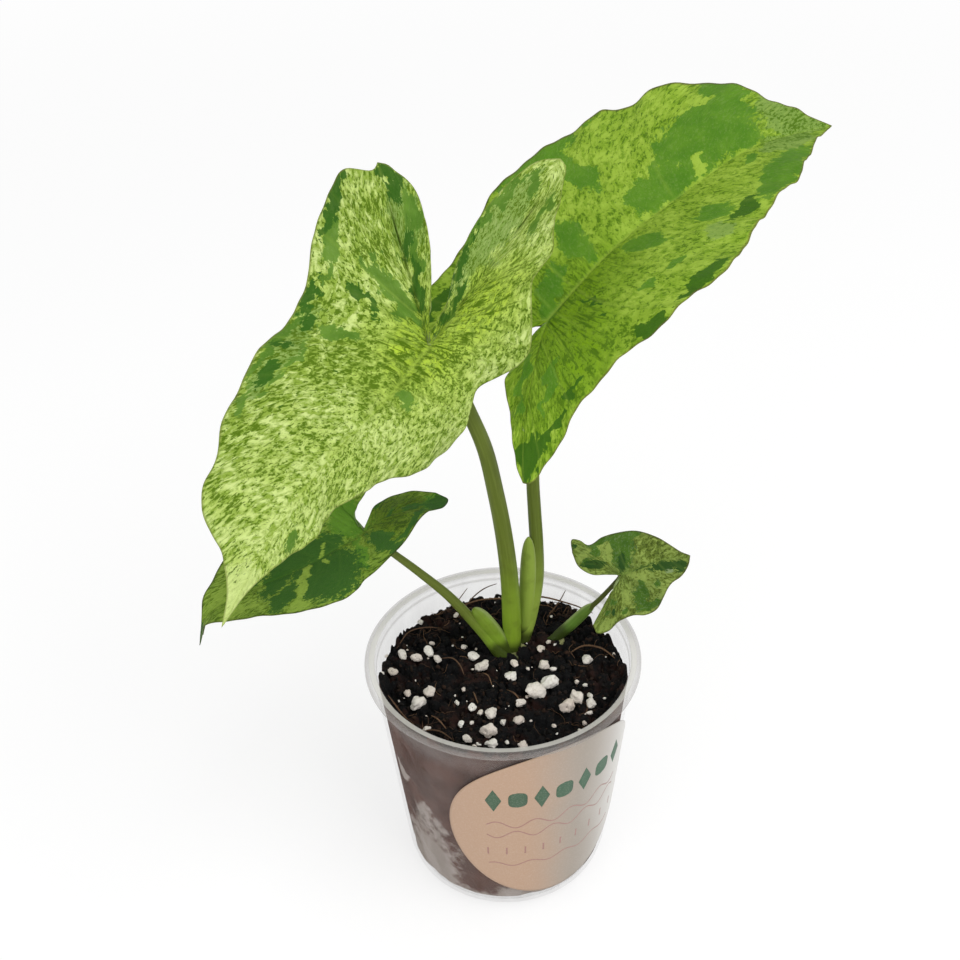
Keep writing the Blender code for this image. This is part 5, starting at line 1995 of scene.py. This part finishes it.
def low_blade() -> Blade:
    """The dark blade low on the left."""
    left = Half(
        inner=[(-0.4, 0.5), (-1, 2.4), (-2.7, 3.8), (-5, 4.3), (-9.5, 4.2), (-14, 5.2), (-18.5, 8),
               (-21.5, 12)],
        outer=[(-20.5, 15), (-14, 15.5), (-6, 14), (4, 14.5), (12, 15), (20, 13.5), (25, 12.2), (31.5, 9.3),
               (35.5, 6), (39, 3.6), (41.5, 1.2), (48.5, 0)],
        shoulder=4, vein=(-14, 8), bends=[(-50, 10, -5), (0, 12, -5), (80, 10, -5)], bow=6.5, fine=1.5)
    right = Half(
        inner=[(-0.5, 0.3), (-4, 0.6), (-7.5, 0.6), (-11.5, -1.6), (-13.8, -5), (-15.6, -11)],
        outer=[(-15, -14.4), (-12, -14.7), (-9, -12.8), (-4.3, -12), (0.5, -12), (4, -13.5), (10.5, -14.7),
               (19.5, -14.3), (25, -12), (30.5, -10), (36, -7.2), (40, -3.6), (43, -1), (48.5, 0)],
        shoulder=5, vein=(-11, -7.5), bends=[(-40, 6, -5), (0, 12, -5), (80, 10, -5)], fine=1.5)
    patches = {
        Tone.DARK: [
            (13, -6, 9, 8.5), (12.5, 2, 8, 3), (22, 0.5, 9, 2.4, -40), (24.5, -6.6, 5.5, 1.8, -35),
            (13, 9, 7, 4), (-13, -13, 3.4, 2.8), (-5, -10.6, 5, 1), (0, -7.5, 1.3, 5.4),
            (27, 1, 2, 0.8, -10), (-9.5, -8.5, 2.6, 0.9, 35), (-6, -4, 1.6, 0.7, 25), (-9.5, 0, 4, 0.7, 12),
            (-15, 11, 6, 3), (46, 0, 4, 2)],
        Tone.SOLID: [
            (0, 5, 6.5, 5.5), (3.8, -6.5, 1.1, 6, 14), (24, -0.5, 3, 1.2, -30), (-13, -12.5, 3.5, 3)],
        Tone.PALE: [
            (10.4, 1.2, 2, 0.6, -45), (11, -2.2, 0.5, 1.4, 10), (18.5, -4.5, 6.5, 1.1, -50),
            (23, -10.5, 2.4, 1.6), (35, 2, 5, 1.1, -25), (33, -5, 3.4, 1, 15)],
        Tone.FLECK: [(-8, -6, 6, 6)],
        Tone.GLOW: [(-7, -5, 8, 6)]}
    # solid and solid_shade are lighter than the patches' own green: painted light that offsets the front
    # blade's shadow.
    finish = LeafFinish(
        light="9bb94a", pale="86a63c", fleck="63831e", deep_fleck="3f5912", solid="66972a",
        solid_shade="588922", dark="386522", silver="6e8e4b", glow="586c0a", vein="5d862f", margin="3b3a1c",
        cover=0.46, grain=9.5, streak=0.85, torn=1.5)
    return Blade(
        "c", [(-24, 19, 101.5), (-28, 10, 100), (-31, 4, 98), (-38, 0, 95.5), (-48, -7, 94.5),
              (-57, -13, 94.5), (-64.5, -18, 92), (-66.5, -19, 85.5)],
        (-0.35, 0.92, 0.18), left, right, patches, finish, lobe_lines=34, blade_lines=84, rows=40,
        groove=0.32, pleat=0.07, wave=0.3, steady=61)


def small_blade() -> Blade:
    """The smallest blade, low on the right."""
    left = Half(
        inner=[(-0.3, 0.1), (-4, 1.4), (-6.8, 2.4), (-9.5, 5.5), (-9.8, 9)],
        outer=[(-8.6, 12), (-7, 11.2), (-5.3, 9.4), (-1.5, 10), (3.5, 9.5), (7.5, 8.3), (11, 5.5), (13.5, 3),
               (15.5, 1.2), (17.5, 0)],
        shoulder=3, vein=(-6.5, 6), bends=[(-50, 8, -8), (0, 12, -8), (80, 10, -8)])
    right = Half(
        inner=[(-0.3, 0.1), (-1.5, -1.7), (-4, -3.8), (-7, -6.5), (-10, -9.3)],
        outer=[(-9.5, -11.5), (-7, -12), (-3, -10.5), (0, -10.3), (3, -11.3), (6.5, -11), (9, -8.8),
               (12, -6), (15, -4.5), (17, -1.8), (17.5, 0)],
        shoulder=4, vein=(-6.6, -7.5), bends=[(-40, 8, -8), (0, 12, -8), (80, 10, -8)])
    patches = {
        Tone.SOLID: [
            (2.6, 5.6, 3, 5, -20), (5, 8.5, 4, 1.2, -12), (-6.8, 5.5, 2, 1.2, -30), (-2.5, 9.2, 3, 0.8),
            (-4.2, 7.2, 1.4, 1.4), (3.6, -6.6, 2, 3.2, -25), (8.4, -5.2, 0.9, 0.9), (4.6, -3.6, 0.7, 0.8),
            (5, -9.6, 4, 0.9), (-3.4, -5.8, 1, 0.7), (-5.6, -7.9, 0.7, 0.6, 30), (-1.2, -8.8, 1.2, 0.5, 20)],
        Tone.DARK: [
            (1.3, 2.4, 2.6, 1, 65), (-5.4, 4.5, 3.2, 1.1, -18), (-8.6, 10.2, 0.7, 0.6),
            (6, -0.15, 4.6, 0.25, -1), (11.5, -1.5, 4.4, 1.1, -5), (15, -2.2, 1.5, 1.5),
            (-6.7, -9.3, 0.5, 0.5), (-4, -8, 0.5, 0.6)],
        Tone.PALE: [
            (-0.9, 5.8, 0.8, 2.8, -16), (-7.4, 7.3, 2.2, 0.9, 20), (4, -1.8, 3.4, 0.9, -30),
            (-6.5, -10.3, 2.6, 1.2, 15), (0, -5.6, 1.2, 2.2)],
        Tone.FLECK: [(9, 3.6, 5, 3, -30), (-3.5, -7, 4.5, 3, 45), (2, -8, 4, 3)],
        Tone.SILVER: [(12.2, -2.9, 1.2, 0.6, -10)]}
    finish = LeafFinish(
        light="9bb056", pale="83984a", fleck="627528", deep_fleck="435119", solid="486f1e",
        solid_shade="396015", dark="2a4e1c", silver="8fa37a", glow="6b8a24", vein="7c9844", margin="4c4c24",
        cover=0.46, grain=10.0, streak=0.8, torn=1.9, crinkle=0.2)
    return Blade(
        "d", [(21.5, 10, 75), (25, 9.5, 77), (28.5, 9, 79), (31, 8.7, 80.5), (34, 8.35, 82.2),
              (37.5, 7.9, 84), (44, 7, 86)],
        (0.2, 0.6, 0.78), left, right, patches, finish, lobe_lines=26, blade_lines=60, rows=34, groove=0.24,
        pleat=0.12, wave=0.25, thickness=0.34, steady=61)


def stalks(blades: dict[str, Blade]) -> list[Stalk]:
    """Lay out the four petioles, each with its own route and colours.

    Args:
        blades: The blades by letter.

    Returns:
        The petioles.
    """
    return [
        Stalk(blades["a"],
              [(2.4, 8.5, 58.2), (2.4, 8, 66.5), (2, 7, 81.5), (1, 6, 94), (-0.6, 4, 107.5),
               (-3, 1.5, 122.5), (-5.5, -0.5, 131.5), (-9, -3, 142.5)],
              (2.45, 1.5), StalkFinish("86a52e", "606e26", "5b6922"), flare=-0.08),
        Stalk(blades["b"],
              [(5.2, 11.9, 58.3), (6.4, 12, 62.5), (7.5, 12.2, 67.5), (8.7, 12.5, 76.5), (8.7, 13, 85.5),
               (8.3, 14, 95), (8, 15, 103), (8.4, 16, 113.5), (9.2, 17.5, 126)],
              (1.9, 1.3), StalkFinish("97b048", "5c6b23", "5e7026"),
              Sheath([(5.0, 11.4, 55.5), (5.9, 11.3, 66), (6.5, 11.3, 76), (6.8, 11.6, 89)], 3.8, 3.0)),
        Stalk(blades["c"],
              [(-1.3, 6.2, 58.9), (-3.3, 6.4, 62.2), (-7.6, 6.4, 69), (-12.3, 6.2, 76), (-18.6, 5.8, 83.5),
               (-24.7, 5, 90.5)],
              (1.65, 0.72), StalkFinish("7f9f2e", "626e2c", "5c6a30"),
              Sheath([(1.4, 7.2, 55.2), (-1.5, 7.1, 62.2), (-3.9, 7.0, 66.8), (-6.6, 6.8, 71.6)], 4.4, 3.6)),
        Stalk(blades["d"],
              [(13.8, 11, 58.8), (16.0, 11, 61), (20.3, 10.5, 66.5), (23.1, 10, 70), (26.1, 9.5, 74.5)],
              (0.9, 0.5), StalkFinish("5f8432", "474f20", "3a3e1c"),
              Sheath([(12.2, 11, 56.8), (17.2, 11, 62.3), (20.3, 10.6, 66.5), (22.3, 10.2, 69.2)], 3, 2))]


def main() -> None:
    """Build the room and every piece of the plant, and log each piece's number of faces."""
    logging.basicConfig(level=logging.INFO, format="%(message)s")
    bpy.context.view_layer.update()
    Studio().build()
    cup = Cup()
    soil = Soil(cup)
    label = Label(cup)
    blades = {blade.letter: blade for blade in (front_blade(), tall_blade(), low_blade(), small_blade())}
    pieces = [cup.build(), soil.build(), soil.scatter(), Fibres(soil).build(), *Perlite(soil).build(),
              *Crown().build(), label.paper(), *label.print()]
    pieces += [blade.build() for blade in blades.values()]
    pieces += [stalk.build() for stalk in stalks(blades)]
    for piece in pieces:
        LOG.info("%s: %d faces", piece.name, len(piece.data.polygons))
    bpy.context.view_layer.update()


if __name__ == "__main__":
    main()
